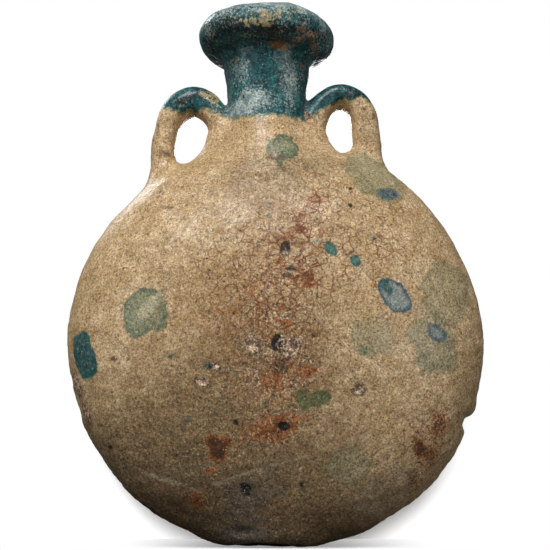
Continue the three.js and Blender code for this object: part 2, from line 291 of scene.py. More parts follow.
dents = [
    (5, 154.2, 4.4, 2.6, 79, 0.9),  # plum-coloured pit
    (7.7, 143.3, 3.4, 1.4, -5, 0.5),
    (0.8, 105.2, 4.2, 2.8, 79, 0.9),  # black pit beside the pale crater
    (6.7, 102.3, 6.7, 5.6, 0, 0.5),
    (6.3, 97.6, 5.4, 1, -6, -0.4),  # lip under the pale crater
    (-12.7, 103.9, 4.7, 3.6, -68, 0.7),
    (-30.3, 92.5, 2.8, 2.3, -3, 0.7),
    (-38.1, 84.5, 3.8, 2.6, -12, 0.8),
    (43.2, 81.3, 4.3, 3.3, 1, 0.8),
    (3.8, 62, 2.8, 2.3, -10, 0.5),
    (-20.4, 64, 2, 1.7, -71, 0.5),
    (-15.1, 30.5, 2.8, 2, -54, 0.8),
    (-58.5, 179.5, 3.6, 1.2, -12, 0.4),
    (-63, 190.4, 1.9, 1.6, -46, 0.4),
    (-1.8, 208.8, 3.8, 2.2, 1, 0.5),  # red pits under the neck
    (18, 239.5, 2.5, 2.3, -47, 0.9),  # pit between neck and right handle
    (49.7, 24.9, 2.8, 2.4, -10, -0.6),  # bump low on the right
    (-53.6, 160.3, 6.5, 1.4, 24, -0.45),  # ridges on the upper left
    (-48, 165, 5, 1.2, 50, -0.35),
    (-66, 176, 9, 2.2, 40, 0.30),
    (-74, 168, 10, 2.4, 46, -0.30),
    (-49.9, 32.5, 6.5, 1, -18, -0.45),  # wrinkles low on the left
    (-15, 38, 10, 0.9, 17, -0.45),
    (-52, 20, 12, 4, -35, 0.8),
    (-17, 8.5, 9, 3.5, 0, 0.9),
    (13.3, 31.6, 3.4, 1, -68, 0.5),
]
# Chips and bumps on the body's edge: place round it in degrees clockwise from the neck, half width in
# degrees, reach to the front and back in mm, and depth in mm.
edge_chips = [
    (113.4, 3.2, 20, 3),
    (108.6, 2.4, 12, -0.9),
    (85.5, 1.2, 8, 0.6),
    (89, 0.9, 8, 0.5),
    (95, 1, 8, 0.5),
    (249.5, 2.4, 9, 0.6),
    (259, 2.2, 9, 0.5),
    (217, 2, 9, 0.5),
    (228, 2, 9, 0.4),
    (283.5, 1.2, 7, 0.6),
    (130, 18, 30, -1.4),
    (156, 9, 30, -0.8),
    (219, 12, 30, -1.5),
    (244, 8, 30, -1),
]

# The unevenness of hand work: wavelength, height and seed of each scale of it. The grit is the
# roughness of the body's worn edge, and fades out between two heights.
hand_work = [
    (42 * mm, 0.26 * mm, 3),
    (13 * mm, 0.10 * mm, 4),
    (5 * mm, 0.045 * mm, 5),
]
edge_grit = (4 * mm, 0.12 * mm, 6)
grit_half_depth = 9 * mm
grit_fading = (170 * mm, 90 * mm)


def inside(p, mark, face=-1, power=2):
    """How far a point lies inside an oval mark on the front (-1) or back (1), in mm along its width.

    The oval is seen along Y: 1 less its level |a|^n + |b|^n to the 1/n, times its half width. Past the
    body's edge it fades by 1 mm per mm."""
    x, z, half_length, half_width, lean = mark[:5]
    c, s = math.cos(math.radians(lean)), math.sin(math.radians(lean))
    across, up = p[:, 0] / mm - x, p[:, 2] / mm - z
    a = np.abs(across * c + up * s) / half_length
    b = np.abs(up * c - across * s) / half_width
    past_edge = np.clip(-face * p[:, 1] / mm, 0, None)
    return (1 - (a**power + b**power) ** (1 / power)) * half_width - past_edge


def relief(p):
    """How far the glazed skin stands out from the plain forms: hand work, less each dent and chip by a
    cubic ramp from its outline inwards, and grit along the edge."""
    height = sum(unevenness(p, *scale) for scale in hand_work)
    for dent in dents:
        share = inside(p, dent) / dent[3]
        height -= dent[5] * mm * smoothstep(0, 0.8, share)
    turn = np.degrees(np.arctan2(p[:, 0], p[:, 2] - body_middle_z)) % 360
    for place, half_width, reach, depth in edge_chips:
        share = 1 - np.abs((turn - place + 180) % 360 - 180) / half_width
        near = np.exp(-((p[:, 1] / (reach * mm)) ** 4))
        height -= depth * mm * smoothstep(0, 0.8, share) * near
    grit = unevenness(p, *edge_grit) * np.exp(-((p[:, 1] / grit_half_depth) ** 2))
    return height + grit * smoothstep(*grit_fading, p[:, 2])


def skin_gap(p):
    """Distance to the flask's skin: the pieces' distances, joined one after the other, less relief."""
    tightness = smoothstep(*tightening, p[:, 2] - body_top_z)
    fillet = foot_fillet + (crotch_fillet - foot_fillet) * tightness
    gap = joined(body_gap(p), neck_gap(p), neck_fillet)
    gap = joined(gap, ring_gap(p), ring_fillet)
    for handle in (left_handle, right_handle):
        gap = joined(gap, handle_gap(handle, p), fillet)
    gap = -joined(-gap, p[:, 2], rest_rounding)
    return gap - relief(p)


# The pieces' meshes. Each piece's own form is laid out as a grid of points, and each point is then
# moved along its own form's normal to the flask's skin. Past a join it laps just under its
# neighbour, then dives deeper, and then goes back to its own form.

lap_depth = 0.05 * mm
dive_depth = 1.0 * mm
seat_depth = 5 * mm
lapping = (-0.3 * mm, 0.9 * mm)  # how far past the join each of the three begins and is complete
diving = (1.6 * mm, 3.6 * mm)
parting = (3.6 * mm, 6 * mm)
probe = 0.05 * mm
newton_steps = 9
longest_step = 3 * mm
slope_limits = (0.35, 3)


def moved_to(level, points, directions):
    """The points moved along their directions to where the level is 0, by damped Newton steps: the
    level over its slope, with the slope and the step kept within limits."""
    travel = np.zeros(len(points))
    for _ in range(newton_steps):
        at = points + travel[:, None] * directions
        here = level(at)
        slope = (level(at + probe * directions) - here) / probe
        travel -= np.clip(here / np.clip(slope, *slope_limits), -longest_step, longest_step)
    return points + travel[:, None] * directions


def normals_of(gap, p):
    """The direction in which a distance grows, by central differences."""
    slope = np.stack([gap(p + probe * axis) - gap(p - probe * axis) for axis in np.eye(3)], axis=1)
    return slope / np.linalg.norm(slope, axis=1, keepdims=True)


def settled(points, own_gap, neighbour_gap):
    """The points moved along their own form's normals until they lie on the flask's skin. Where a
    neighbour's form is the nearer one, they sink below the skin and then turn to their own form."""

    def level(p):
        own = own_gap(p)
        past = own - neighbour_gap(p)
        lap = lap_depth * smoothstep(*lapping, past)
        sunk = skin_gap(p) + lap + dive_depth * smoothstep(*diving, past)
        return sunk + (own - sunk) * smoothstep(*parting, past)

    return moved_to(level, points, normals_of(own_gap, points))


def grid_quads(numbers, round_rows=False, round_columns=False):
    """Quads between neighbours in a grid of vertex numbers, closed on itself where asked."""
    if round_rows:
        numbers = np.vstack([numbers, numbers[:1]])
    if round_columns:
        numbers = np.hstack([numbers, numbers[:, :1]])
    corners = numbers[:-1, :-1], numbers[:-1, 1:], numbers[1:, 1:], numbers[1:, :-1]
    return np.stack(corners, axis=-1).reshape(-1, 4)


def make_piece(name, points, quads, triangles, creases=()):
    """A closed, smooth-shaded mesh object at the origin, with its faces turned outwards. The creases
    are loops of vertices along which the shading breaks."""
    mesh = bpy.data.meshes.new(name)
    corners = np.concatenate([quads.ravel(), triangles.ravel()]).astype(np.int32)
    starts = np.concatenate([np.arange(len(quads)) * 4, quads.size + np.arange(len(triangles)) * 3])
    mesh.vertices.add(len(points))
    mesh.vertices.foreach_set("co", points.ravel())
    mesh.loops.add(len(corners))
    mesh.loops.foreach_set("vertex_index", corners)
    mesh.polygons.add(len(starts))
    mesh.polygons.foreach_set("loop_start", starts.astype(np.int32))
    mesh.update(calc_edges=True)
    shape = bmesh.new()
    shape.from_mesh(mesh)
    bmesh.ops.recalc_face_normals(shape, faces=shape.faces)
    shape.to_mesh(mesh)
    shape.free()
    mesh.polygons.foreach_set("use_smooth", np.ones(len(starts), bool))
    crease_number = np.zeros(len(points), int)
    for number, crease in enumerate(creases, start=1):
        crease_number[crease] = number
    ends = np.zeros(len(mesh.edges) * 2, np.int32)
    mesh.edges.foreach_get("vertices", ends)
    first, second = crease_number[ends[::2]], crease_number[ends[1::2]]
    mesh.edges.foreach_set("use_edge_sharp", (first > 0) & (first == second))
    piece = bpy.data.objects.new(name, mesh)
    bpy.context.scene.collection.objects.link(piece)
    return piece


# The glaze's marks. Where and how strongly each shows is kept with the mesh, point by point, and the
# material breaks it up into specks.


def srgb(red, green, blue):
    """A colour as linear light, from its everyday values of 0 to 255."""
    return tuple(
        c / 12.92 if c <= 0.04045 else ((c + 0.055) / 1.055) ** 2.4
        for c in (red / 255, green / 255, blue / 255)
    )


sage = srgb(124, 128, 98)
moss = srgb(84, 102, 76)
leaf = srgb(86, 92, 56)
teal = srgb(22, 84, 84)
mist = srgb(126, 136, 132)
deep_teal = srgb(34, 80, 82)
sea = srgb(54, 108, 98)
slate = srgb(52, 84, 96)
pale_sage = srgb(158, 158, 130)
plum = srgb(48, 32, 30)
blush = srgb(200, 164, 136)
soot = srgb(28, 24, 22)
ochre = srgb(176, 124, 62)
umber = srgb(112, 80, 50)
rusty = srgb(120, 66, 40)
iron = srgb(72, 74, 78)
bone = srgb(206, 192, 160)
drab = srgb(124, 116, 102)

# Stains and pits: place across and height above the rest flat, half length and half width in mm,
# lean in degrees, colour of the heart and of the rim, width of the rim in mm, how strongly it covers,
# and its squareness where that isn't 2.
front_stains = [
    (-12, 25, 17, 11, 24, iron, iron, 5, 0.24),  # broad tints low on the body
    (56, 28, 20, 11, 46, drab, drab, 5, 0.30),
    (20, 16, 26, 8, -6, umber, umber, 4, 0.28),
    (-60, 30, 18, 9, -42, umber, umber, 4, 0.24),
    (28, 52, 20, 12, 40, umber, umber, 5, 0.22),
    (3.8, 215, 9.8, 9.2, 44, sage, moss, 3, 0.88, 2.2),
    (7.5, 210.5, 5, 3, 20, moss, moss, 1, 0.88),
    (55.2, 199, 19.4, 13, -46, sage, moss, 3.5, 0.55, 2.2),
    (44, 198, 9, 3.6, -50, moss, moss, 1, 0.50),
    (54.5, 188.5, 6, 2.2, -30, moss, moss, 1, 0.60),
    (61, 188.5, 4.6, 3, 8, slate, slate, 1, 0.85),
    (-68.3, 122.5, 13.4, 11.6, 79, sage, moss, 3.4, 0.88, 2.3),
    (-61, 124, 9, 1.3, 74, moss, moss, 0.6, 0.65),
    (91.3, 133.5, 17.5, 14.5, 77, sage, moss, 3, 0.45, 2.6),
    (99.8, 131, 9, 2.6, 84, moss, moss, 1, 0.45),
    (82.7, 104.9, 16.1, 12.6, -80, sage, moss, 1.8, 0.55, 2.3),
    (76, 99, 8, 1.2, -52, moss, moss, 0.6, 0.55),
    (84, 91.5, 6, 1.4, 12, moss, moss, 0.6, 0.60),
    (84.6, 111.2, 4.6, 3.5, -41, mist, slate, 1.1, 0.90),
    (49.6, 108, 11.5, 10.2, 9, sage, sage, 2, 0.45, 2.4),
    (46.2, 99.7, 3.6, 1.8, -30, moss, moss, 0.6, 0.75),
    (14.4, 75.4, 4.9, 3.5, -73, leaf, leaf, 0.6, 0.88, 2.6),
    (22.6, 75.8, 5.9, 3.7, 6, leaf, leaf, 0.6, 0.88, 2.6),
    (36.9, 41.5, 10.8, 9.4, 20, sage, moss, 3, 0.42),
    (-102.2, 100.6, 13.4, 6, -72, deep_teal, teal, 2, 0.96, 2.6),
    (28.7, 154.4, 4.1, 2.7, -55, sea, teal, 0.9, 0.92, 2.2),
    (41.5, 148.2, 3.6, 2.7, -59, sea, teal, 0.9, 0.92, 2.2),
    (52.2, 160.6, 1.1, 1, 11, teal, teal, 0.4, 0.90),
    (61.7, 130.7, 11.6, 6.5, -45, mist, slate, 1.7, 0.94, 2.1),
    (57, 136, 4, 1.6, -60, teal, teal, 1, 0.94),
    (-54.3, 98.3, 1.4, 1.2, -7, teal, teal, 0.4, 0.85),
    (-34.6, 92.6, 2.1, 1.4, -31, teal, teal, 0.4, 0.85),
    (-45.7, 65.5, 1.2, 1.1, -2, teal, teal, 0.4, 0.85),
    (-4.2, 173, 0.9, 0.9, 0, sea, sea, 0.4, 0.85),
    (21.2, 158.5, 1.7, 1.1, 0, sea, sea, 0.4, 0.50),
    (5, 154.2, 4.4, 2.7, 79, plum, plum, 1.3, 0.97),
    (4.9, 151.8, 1.6, 1.5, 0, blush, plum, 0.5, 0.90),
    (7.7, 143.3, 3.4, 0.9, -5, soot, soot, 0.4, 0.90),
    (6.4, 139.8, 2.6, 0.7, -10, soot, soot, 0.4, 0.85),
    (6.7, 102.3, 7, 5.8, 0, blush, umber, 2, 0.70),
    (0.4, 104.6, 4.4, 2.8, 79, soot, soot, 0.6, 0.95),
    (1.8, 92.1, 5.4, 4.2, 0, soot, soot, 2, 0.45),
    (-12.7, 103.9, 4.9, 3.6, -68, blush, plum, 1, 0.80),
    (-30.3, 92.5, 2.7, 2.2, -3, blush, plum, 0.9, 0.90),
    (-38.1, 84.5, 3.6, 2.3, -12, blush, plum, 0.6, 0.90),
    (43.2, 81.3, 4.2, 3.1, 1, blush, plum, 0.9, 0.75),
    (3.8, 62, 2.9, 2.4, -10, soot, soot, 0.5, 0.95),
    (-20.4, 64, 1.9, 1.3, -71, soot, soot, 0.5, 0.90),
    (-15.1, 30.5, 2.4, 1.5, -54, soot, soot, 0.5, 0.90),
    (40.3, 189.9, 1.1, 1, 57, soot, soot, 0.3, 0.95),
    (39.9, 179.6, 1.5, 1.1, -68, soot, soot, 0.3, 0.95),
    (-3.2, 180, 0.9, 0.9, 0, soot, soot, 0.3, 0.95),
    (-68.8, 164.9, 1, 0.9, -42, soot, ochre, 0.5, 0.95),
    (-58.5, 179.5, 3.4, 0.7, -12, plum, plum, 0.3, 0.75),
    (-63, 190.4, 1.5, 1, -46, plum, plum, 0.3, 0.80),
    (19.1, 108.1, 1.6, 0.8, -45, soot, soot, 0.3, 0.90),
    (13.3, 31.6, 3.2, 0.6, -68, soot, soot, 0.3, 0.90),
    (-51.1, 47.2, 1.1, 1, 6, soot, soot, 0.3, 0.90),
    (-87.9, 52.1, 1.2, 1, 5, soot, soot, 0.3, 0.90),
    (-1.8, 208.8, 3.9, 1.5, 1, plum, plum, 0.5, 0.70),
    (18, 239.5, 2.5, 2.3, -47, blush, soot, 1, 0.95),
    (-107.6, 86, 7, 2.6, -75, blush, rusty, 0.8, 0.80),
    (-101.6, 70.5, 6, 2.2, -66, blush, rusty, 0.8, 0.80),
    (-69, 17, 9, 3.2, -40, soot, soot, 1, 0.85),
    (-66.5, 124.5, 6, 2.4, 50, pale_sage, pale_sage, 1.5, 0.70),
    (1.4, 275.6, 5.6, 2.2, -8, umber, umber, 1, 0.92),
    # painted shade: the dark under the middle of the mouth roll
    (-1.7, 280.6, 3.4, 2.6, 0, soot, soot, 1.2, 0.85),
    (19.6, 281.1, 1.9, 1.7, 0, blush, soot, 0.8, 0.95),
    (16.2, 279.8, 3.6, 0.4, 22, blush, blush, 0.2, 0.60),
    (14.3, 282.3, 1.3, 0.7, 30, ochre, ochre, 0.3, 0.80),
    (21.7, 278.2, 1.2, 0.7, 0, ochre, ochre, 0.3, 0.70),
    (15.2, 268.3, 1, 0.8, 0, ochre, ochre, 0.3, 0.80),
    (-7.4, 290.2, 1.6, 0.8, 0, ochre, ochre, 0.3, 0.80),
    # painted shade: a dark stripe in the crease between the neck and the right handle
    (17.4, 247, 1.6, 7, 0, iron, iron, 1, 0.75),
    (-63.1, 217.2, 3, 1.2, -15, plum, plum, 0.4, 0.75),
    (-67.4, 233, 0.8, 5, 8, plum, plum, 0.4, 0.45),
    (50.7, 243.7, 1.3, 1.3, 0, plum, rusty, 0.6, 0.80),
    (56.2, 239.5, 0.9, 3, 0, rusty, rusty, 0.4, 0.70),
    (-85, 97.9, 1.4, 1, 0, blush, plum, 0.6, 0.80),
    (-17.2, 7, 14, 5, 0, iron, iron, 2, 0.50),
    (-49.9, 32.5, 5.5, 0.4, -18, bone, bone, 0.2, 0.45),  # crests of the wrinkles
    (-15, 38, 9, 0.4, 17, bone, bone, 0.2, 0.40),
    (8.4, 187, 4.2, 0.4, 82, bone, bone, 0.2, 0.60),  # scratches
    (12.6, 189.4, 4, 0.3, -38, bone, bone, 0.2, 0.50),
    (-53.6, 160.3, 5.5, 0.6, 24, bone, bone, 0.2, 0.45),
    (-46, 166.5, 3, 0.8, 60, bone, bone, 0.2, 0.55),
    (-57, 163.5, 1.6, 1, 30, bone, bone, 0.2, 0.60),
]
back_stains = [
    (-38, 168, 15, 11, 20, sage, moss, 2.6, 0.70, 2.4),
    (62, 96, 13, 9, 70, sage, moss, 2.2, 0.60, 2.4),
    (24, 140, 4, 2.7, 50, sea, teal, 0.9, 0.90, 2.2),
    (-70, 112, 9, 5, -60, slate, teal, 1.6, 0.92, 2.2),
    (8, 60, 6, 4, 10, leaf, leaf, 0.6, 0.80, 2.6),
    (-18, 100, 4.6, 3.2, 40, blush, plum, 1, 0.85),
    (40, 66, 3, 2.2, -20, blush, plum, 0.9, 0.85),
    (12, 182, 1.3, 1.1, 0, soot, soot, 0.3, 0.95),
    (-52, 60, 2.2, 1.3, 30, soot, soot, 0.3, 0.90),
]

# Rust: place, half length, half width, lean, and how strongly it shows.
front_rust = [
    (21.5, 182.5, 6.1, 4.6, 28, 0.72),
    (12.5, 174.4, 5.4, 2.9, 25, 0.66),
    (12.4, 165.8, 6.2, 3.6, 19, 0.85),
    (4.4, 159.4, 7.8, 4, 29, 0.66),
    (18.6, 156, 4.6, 1.8, -47, 0.66),
    (13.5, 139.5, 6, 5, -28, 0.95),
    (17.2, 134.5, 4.4, 2.9, -11, 0.85),
    (3.5, 114.2, 7.6, 3.8, -6, 0.75),
    (1.9, 145.9, 3.7, 2.7, -19, 0.80),
    (15.7, 89.6, 5.8, 3.1, 0, 0.75),
    (-0.6, 84.8, 7.6, 4.8, -11, 0.75),
    (0.2, 61.1, 12.6, 6, 19, 0.85),
    (-6.7, 55.5, 5.1, 3, 11, 0.90),
    (-3.3, 83.7, 9.4, 3.6, 0, 0.70),
    (-29.8, 51.6, 6, 3.7, -84, 1.80),
    (-29.4, 54.5, 2, 4.6, -84, 1.40),
    (-34.2, 39.8, 4.3, 2.2, 0, 0.75),
    (-40.4, 23.8, 6, 4, -75, 0.80),
    (85.2, 63.5, 7.4, 5.6, 71, 0.80),
    (74.9, 50.2, 5.7, 2.8, -80, 1.30),
    (81.3, 47.4, 7.8, 7, 57, 0.72),
    (72, 34, 5, 3.3, 19, 0.70),
    (50, 134, 3, 2.2, 0, 0.62),
    (56, 152, 3.2, 1.8, -50, 0.62),
    (69, 152, 2.8, 1.6, 0, 0.58),
    (35, 137, 2.6, 1.2, -20, 0.66),
    (88, 163, 2.4, 1.6, 0, 0.58),
    (-12, 133, 8, 3, 15, 0.52),
    (-27, 120, 7, 2.4, 8, 0.50),
]
back_rust = [
    (-10, 128, 9, 5, 60, 0.85),
    (18, 88, 8, 5, -20, 0.80),
    (-60, 78, 6, 4, 30, 0.85),
    (50, 160, 6, 3.5, 10, 0.70),
]

# Grime and painted shade: place, half length, half width, lean, and how strongly it shows. The patches low
# on the body and under the neck are painted shade as well as grime.
grime = [
    (3, 98, 34, 46, 0, 0.44),
    # painted shade: these three darken the body towards the bottom
    (-18, 30, 82, 44, 0, 0.55),
    (-60, 44, 50, 40, 0, 0.55),
    (0, 0, 70, 26, 0, 0.70),
    # painted shade: these two darken the body under the neck
    (12, 204, 34, 10, 6, 0.50),
    (-6, 188, 46, 20, 0, 0.42),
    (-30, 112, 40, 24, 0, 0.22),
    (8, 102, 22, 22, 0, 0.22),
    (52, 232, 8, 16, 0, 0.40),
    (72, 34, 34, 30, 0, -0.34),
    (40, 20, 30, 16, 0, -0.16),
    (-36, 84, 30, 16, 0, 0.25),
]

# Golden-brown staining of the glaze: place, half length, half width, lean, and how strongly it shows.
amber_patches = [
    (-24, 118, 34, 22, 0, 0.95),
    (-6, 193, 30, 10, 0, 0.45),
    (2, 90, 30, 24, 0, 0.80),
    (4, 150, 26, 22, 60, 0.55),
    (-60, 78, 40, 24, 0, 0.55),
    (-10, 176, 30, 10, 0, 0.40),
    (-16, 150, 26, 20, 0, 0.35),
    (0, 45, 60, 20, 0, 0.35),
]
# Where rust has crept along the crackle and spotted the glaze.
front_embers = [
    (20, 180, 13, 8, 30, 0.60),
    (10, 162, 18, 13, 25, 0.65),
    (6, 142, 20, 13, 0, 0.75),
    (0, 120, 24, 12, 0, 0.70),
    (4, 100, 24, 13, 0, 0.95),
    (-4, 82, 26, 10, 0, 0.90),
    (-2, 60, 20, 10, 15, 0.95),
    (44, 150, 26, 20, 0, 0.25),
    (-30, 50, 9, 9, 0, 0.45),
    (80, 54, 14, 16, -30, 0.80),
    (-38, 24, 14, 8, 0, 0.55),
    (-24, 134, 22, 16, 0, 0.40),
]
back_embers = [
    (-10, 124, 15, 12, 40, 0.60),
    (16, 88, 14, 10, -20, 0.55),
    (-58, 76, 10, 8, 30, 0.50),
]
# Scorched dark places, with painted shade along the underside of the mouth roll, and clouded cream places
# in the turquoise.
scorched_and_shaded = [
    (-50, 250, 12, 5, 20, 1.05),
    (46, 251, 16, 6, 0, 0.90),
    (-38, 250.5, 6, 4, -30, 0.55),
    # painted shade: these two darken the underside of the mouth roll
    (0, 281, 26, 4, 0, 1.00),
    (-20, 283.5, 14, 3.6, 0, 0.90),
    (-34, 288, 8, 8, 0, 0.60),
    (24, 285, 9, 5, 0, 0.35),
    (-30, 288, 10, 7, 0, 0.40),
]
clouded = [
    (-4, 287.5, 12, 3.6, 0, 0.75),
    (-14, 285.5, 10, 2.4, 0, 0.55),
    (-37, 251, 8, 4, -35, 1.05),
    (-54, 247, 5, 3, 35, 0.50),
    (-36.5, 284.5, 4, 4, 0, 0.35),
    (-22, 270, 5, 3, 0, 0.55),
    (8, 292, 18, 3, 0, 0.40),
]

# Where the turquoise stops on the neck and handles: places across and heights in mm.
drip_line = [
    (-70, 244.6), (-63.8, 244.2), (-56, 242.3), (-51.6, 243.6), (-40, 243.8), (-36, 242.4), (-29, 239.8),
    (-24, 236.2), (-15, 236.4), (-11, 234.4), (0, 236.6), (9, 235.6), (17, 237.6), (21, 240.2),
    (26, 243.4), (31.6, 244.8), (36.2, 248.6), (45.6, 250.2), (53, 249.2), (60, 248.6),
]
# Pale weathering on the turquoise: place, half length, half width, lean, and how strongly it shows.
bloom_patches = [
    (-21, 240, 11, 8, 30, 1.00),
    (-20, 262, 8, 12, 0, 0.30),
    (9.5, 256, 7, 14, 0, 0.45),
    (-4, 246, 16, 8, 0, 0.28),
    (-50, 251, 16, 9, 0, -1.10),
    (46, 251, 18, 9, 0, -0.90),
    (-38, 285, 6, 7, 0, 0.15),
    (8, 297, 20, 6, -8, 0.80),
    (28, 284, 8, 9, 0, 0.45),
    (-12, 297, 16, 5, 0, 0.70),
    (-28, 292, 10, 6, 0, 0.25),
]

# Where the crackle is darkest on the front, with its strength there.
crackled = [
    (28, 160, 52, 34, 0, 0.50),
    (-12, 140, 34, 24, 0, 0.45),
]
plain_crackle = 0.24


def straying(p):
    """A small wandering shift, by which the outlines of stains stray from plain ovals."""
    drift = [
        unevenness(p, 15 * mm, 1.0 * mm, seed) + unevenness(p, 5 * mm, 0.45 * mm, seed + 1)
        for seed in (21, 23, 25)
    ]
    return np.stack(drift, axis=1) * smoothstep(0, 8 * mm, np.abs(p[:, 1]))[:, None]


def strength_of(p, mark, face, falloff=0.9, power=2):
    """A mark's strength, fading outwards by exp(-falloff level^power). The level is 0 at the mark's
    heart, 1 on its outline and more outside."""
    level = 1 - inside(p, mark, face) / mark[3]
    return mark[5] * np.exp(-falloff * np.abs(level) ** power)


def stained(p, shift):
    """The stains laid one over the other: their colour, how strongly they cover, how far inside their
    outlines a point lies (0.5 on an outline), and where they are pits with a pale crumbling floor.

    Over its rim a stain's colour passes by a cubic from that of the rim to that of the heart, and the
    outline of a small stain strays less than that of a large one."""
    colour = np.tile(np.array(sage), (len(p), 1))
    ramp, cover, pitted = np.zeros(len(p)), np.zeros(len(p)), np.zeros(len(p))
    for face, marks in ((-1, front_stains), (1, back_stains)):
        for mark in marks:
            heart, rim, rim_width, strength, *squareness = mark[5:]
            depth = inside(p + shift * min(1, mark[3] / 10), mark, face, *squareness)
            to_heart = smoothstep(0.3 * rim_width, 1.3 * rim_width, depth)[:, None]
            own = np.array(rim) + (np.array(heart) - np.array(rim)) * to_heart
            over = smoothstep(-1.6, -0.6, depth)[:, None]
            colour += (own - colour) * over
            cover += (strength - cover) * over[:, 0]
            ramp = np.maximum(ramp, np.clip(0.5 + depth / 8, 0, 1))
            if heart == blush:
                pitted = np.maximum(pitted, smoothstep(-0.4, 0.6, depth))
    return colour, cover, ramp, pitted


def dress(piece):
    """Keep the marks with the piece's mesh, as one value or colour for each point: the sum of their
    strengths, or for rust the largest, and for stains those of the last one laid."""
    mesh = piece.data
    p = np.empty(len(mesh.vertices) * 3)
    mesh.vertices.foreach_get("co", p)
    p = p.reshape(-1, 3)
    shift = straying(p)
    own_face = np.where(p[:, 1] > 0, 1, -1)

    def keep(name, values, kind="FLOAT", key="value"):
        layer = mesh.attributes.new(name, kind, "POINT")
        layer.data.foreach_set(key, np.ascontiguousarray(values, dtype=np.float32).ravel())

    def patches(marks, faces=(-1, 1)):
        total = np.zeros(len(p))
        for face in faces:
            here = smoothstep(-3 * mm, 3 * mm, face * p[:, 1])
            for mark in marks:
                total += here * strength_of(p + shift, mark, face)
        return total

    colour, cover, ramp, pitted = stained(p, shift)
    keep("stain", np.hstack([colour, ramp[:, None]]), "FLOAT_COLOR", "color")
    keep("stain_cover", cover)
    keep("pitted", pitted)
    rust = np.zeros(len(p))
    for face, marks in ((-1, front_rust), (1, back_rust)):
        for mark in marks:
            rust = np.maximum(rust, strength_of(p + shift, mark, face, power=2.2))
    keep("rust", rust)
    # The mask starts darker towards the bottom, which is painted shade.
    dirt_and_shade = 0.25 * smoothstep(120 * mm, 10 * mm, p[:, 2])
    for mark in grime:
        dirt_and_shade += strength_of(p, mark, own_face)
    keep("grime", dirt_and_shade)
    keep("amber", patches(amber_patches))
    keep("ember", patches(front_embers, [-1]) + patches(back_embers, [1]))
    keep("scorch", patches(scorched_and_shaded))
    keep("cloud", patches(clouded))
    line = np.interp(p[:, 0] / mm, *np.array(drip_line).T)
    keep("turquoise", p[:, 2] / mm - line + unevenness(p, 9 * mm, 0.8, 7))
    bloom = 0.04 + unevenness(p, 16 * mm, 0.10, 8)
    for mark in bloom_patches:
        bloom += strength_of(p, mark, own_face, falloff=1.0)
    keep("bloom", bloom)
    crackle = np.full(len(p), plain_crackle)
    for mark in crackled:
        crackle += strength_of(p, mark, -1, falloff=1.0, power=3)
    keep("crackle", crackle)
    near_edge = np.exp(-((p[:, 1] / (8 * mm)) ** 2)) * smoothstep(-3 * mm, -1 * mm, body_gap(p))
    keep("edge", near_edge * smoothstep(body_top_z - 6 * mm, body_top_z - 20 * mm, p[:, 2]))


# The glaze itself. One recipe gives the tin-cream and the turquoise, as the real coat is one coat that
# the copper coloured above a line. It lies over buff clay, and is crackled, stained and worn.

light_cream = srgb(205, 178, 139)
deep_cream = srgb(179, 149, 107)
pale_cream = srgb(216, 188, 152)
milk = srgb(232, 214, 184)
buff = srgb(174, 146, 102)
clay_brown = srgb(122, 96, 62)
gold = srgb(150, 110, 62)
crack_brown = srgb(118, 76, 42)
crack_russet = srgb(112, 56, 28)
fine_crack_tan = srgb(130, 90, 58)
light_earth = srgb(130, 108, 74)
grey_earth = srgb(106, 92, 68)
deep_earth_and_shade = srgb(80, 70, 54)
peat = srgb(62, 44, 26)
pale_dust = srgb(186, 166, 136)
rust_veil = srgb(158, 110, 54)
rust_spot = srgb(56, 34, 24)
rust_halo = srgb(164, 112, 56)
bright_rust = srgb(160, 86, 42)
dark_rust = srgb(56, 30, 20)
pale_ash = srgb(216, 196, 168)
prick_brown = srgb(74, 52, 32)
fleck_cream = srgb(232, 212, 180)
pinhole_brown = srgb(44, 30, 22)
edge_brown = srgb(96, 62, 38)
deep_turquoise = srgb(10, 64, 68)
light_turquoise = srgb(40, 106, 108)
ink = srgb(14, 32, 36)
foam = srgb(122, 156, 152)
scorched_and_shade_black = srgb(20, 26, 28)
cloud_cream = srgb(176, 158, 116)
pale_film = srgb(172, 184, 178)
grey_film = srgb(122, 138, 138)
run_green = srgb(104, 118, 86)
stain_pale = srgb(178, 182, 170)
stain_dark = srgb(34, 44, 48)
stain_foam = srgb(160, 174, 168)
pit_brown_and_shade = srgb(52, 32, 22)
pit_chalk_and_highlight = srgb(226, 196, 164)


def add_node(tree, kind, settings=(), **inputs):
    """A new shader node. Its inputs are fields, colours or numbers, and are given by name, with
    underscores for spaces, or by number after an underscore."""
    made = tree.nodes.new("ShaderNode" + kind)
    for key, value in dict(settings).items():
        setattr(made, key, value)
    for key, value in inputs.items():
        socket = made.inputs[int(key[1:])] if key[0] == "_" else made.inputs[key.replace("_", " ")]
        if isinstance(value, Field):
            tree.links.new(value.socket, socket)
        else:
            socket.default_value = value
    return made


class Field:
    """What a node gives out: a number, colour or shader that varies over the surface. A sum, difference
    or product of two numbers is a Math node."""

    def __init__(self, made, output=0):
        self.tree = made.id_data
        self.socket = made.outputs[output]

    def count(self, operation, first, second):
        return Field(add_node(self.tree, "Math", {"operation": operation}, _0=first, _1=second, _2=0.0))

    def __add__(self, other):
        return self.count("ADD", self, other)

    def __radd__(self, other):
        return self.count("ADD", other, self)

    def __sub__(self, other):
        return self.count("SUBTRACT", self, other)

    def __rsub__(self, other):
        return self.count("SUBTRACT", other, self)

    def __mul__(self, other):
        return self.count("MULTIPLY", self, other)

    def below(self, limit):
        return self.count("LESS_THAN", self, limit)

    def at_least(self, floor):
        return self.count("MAXIMUM", self, floor)


def emptied_tree(owner):
    """Clear the nodes of a material or world, and give the function that adds new ones."""
    owner.use_nodes = True
    owner.node_tree.nodes.clear()
    return partial(add_node, owner.node_tree)


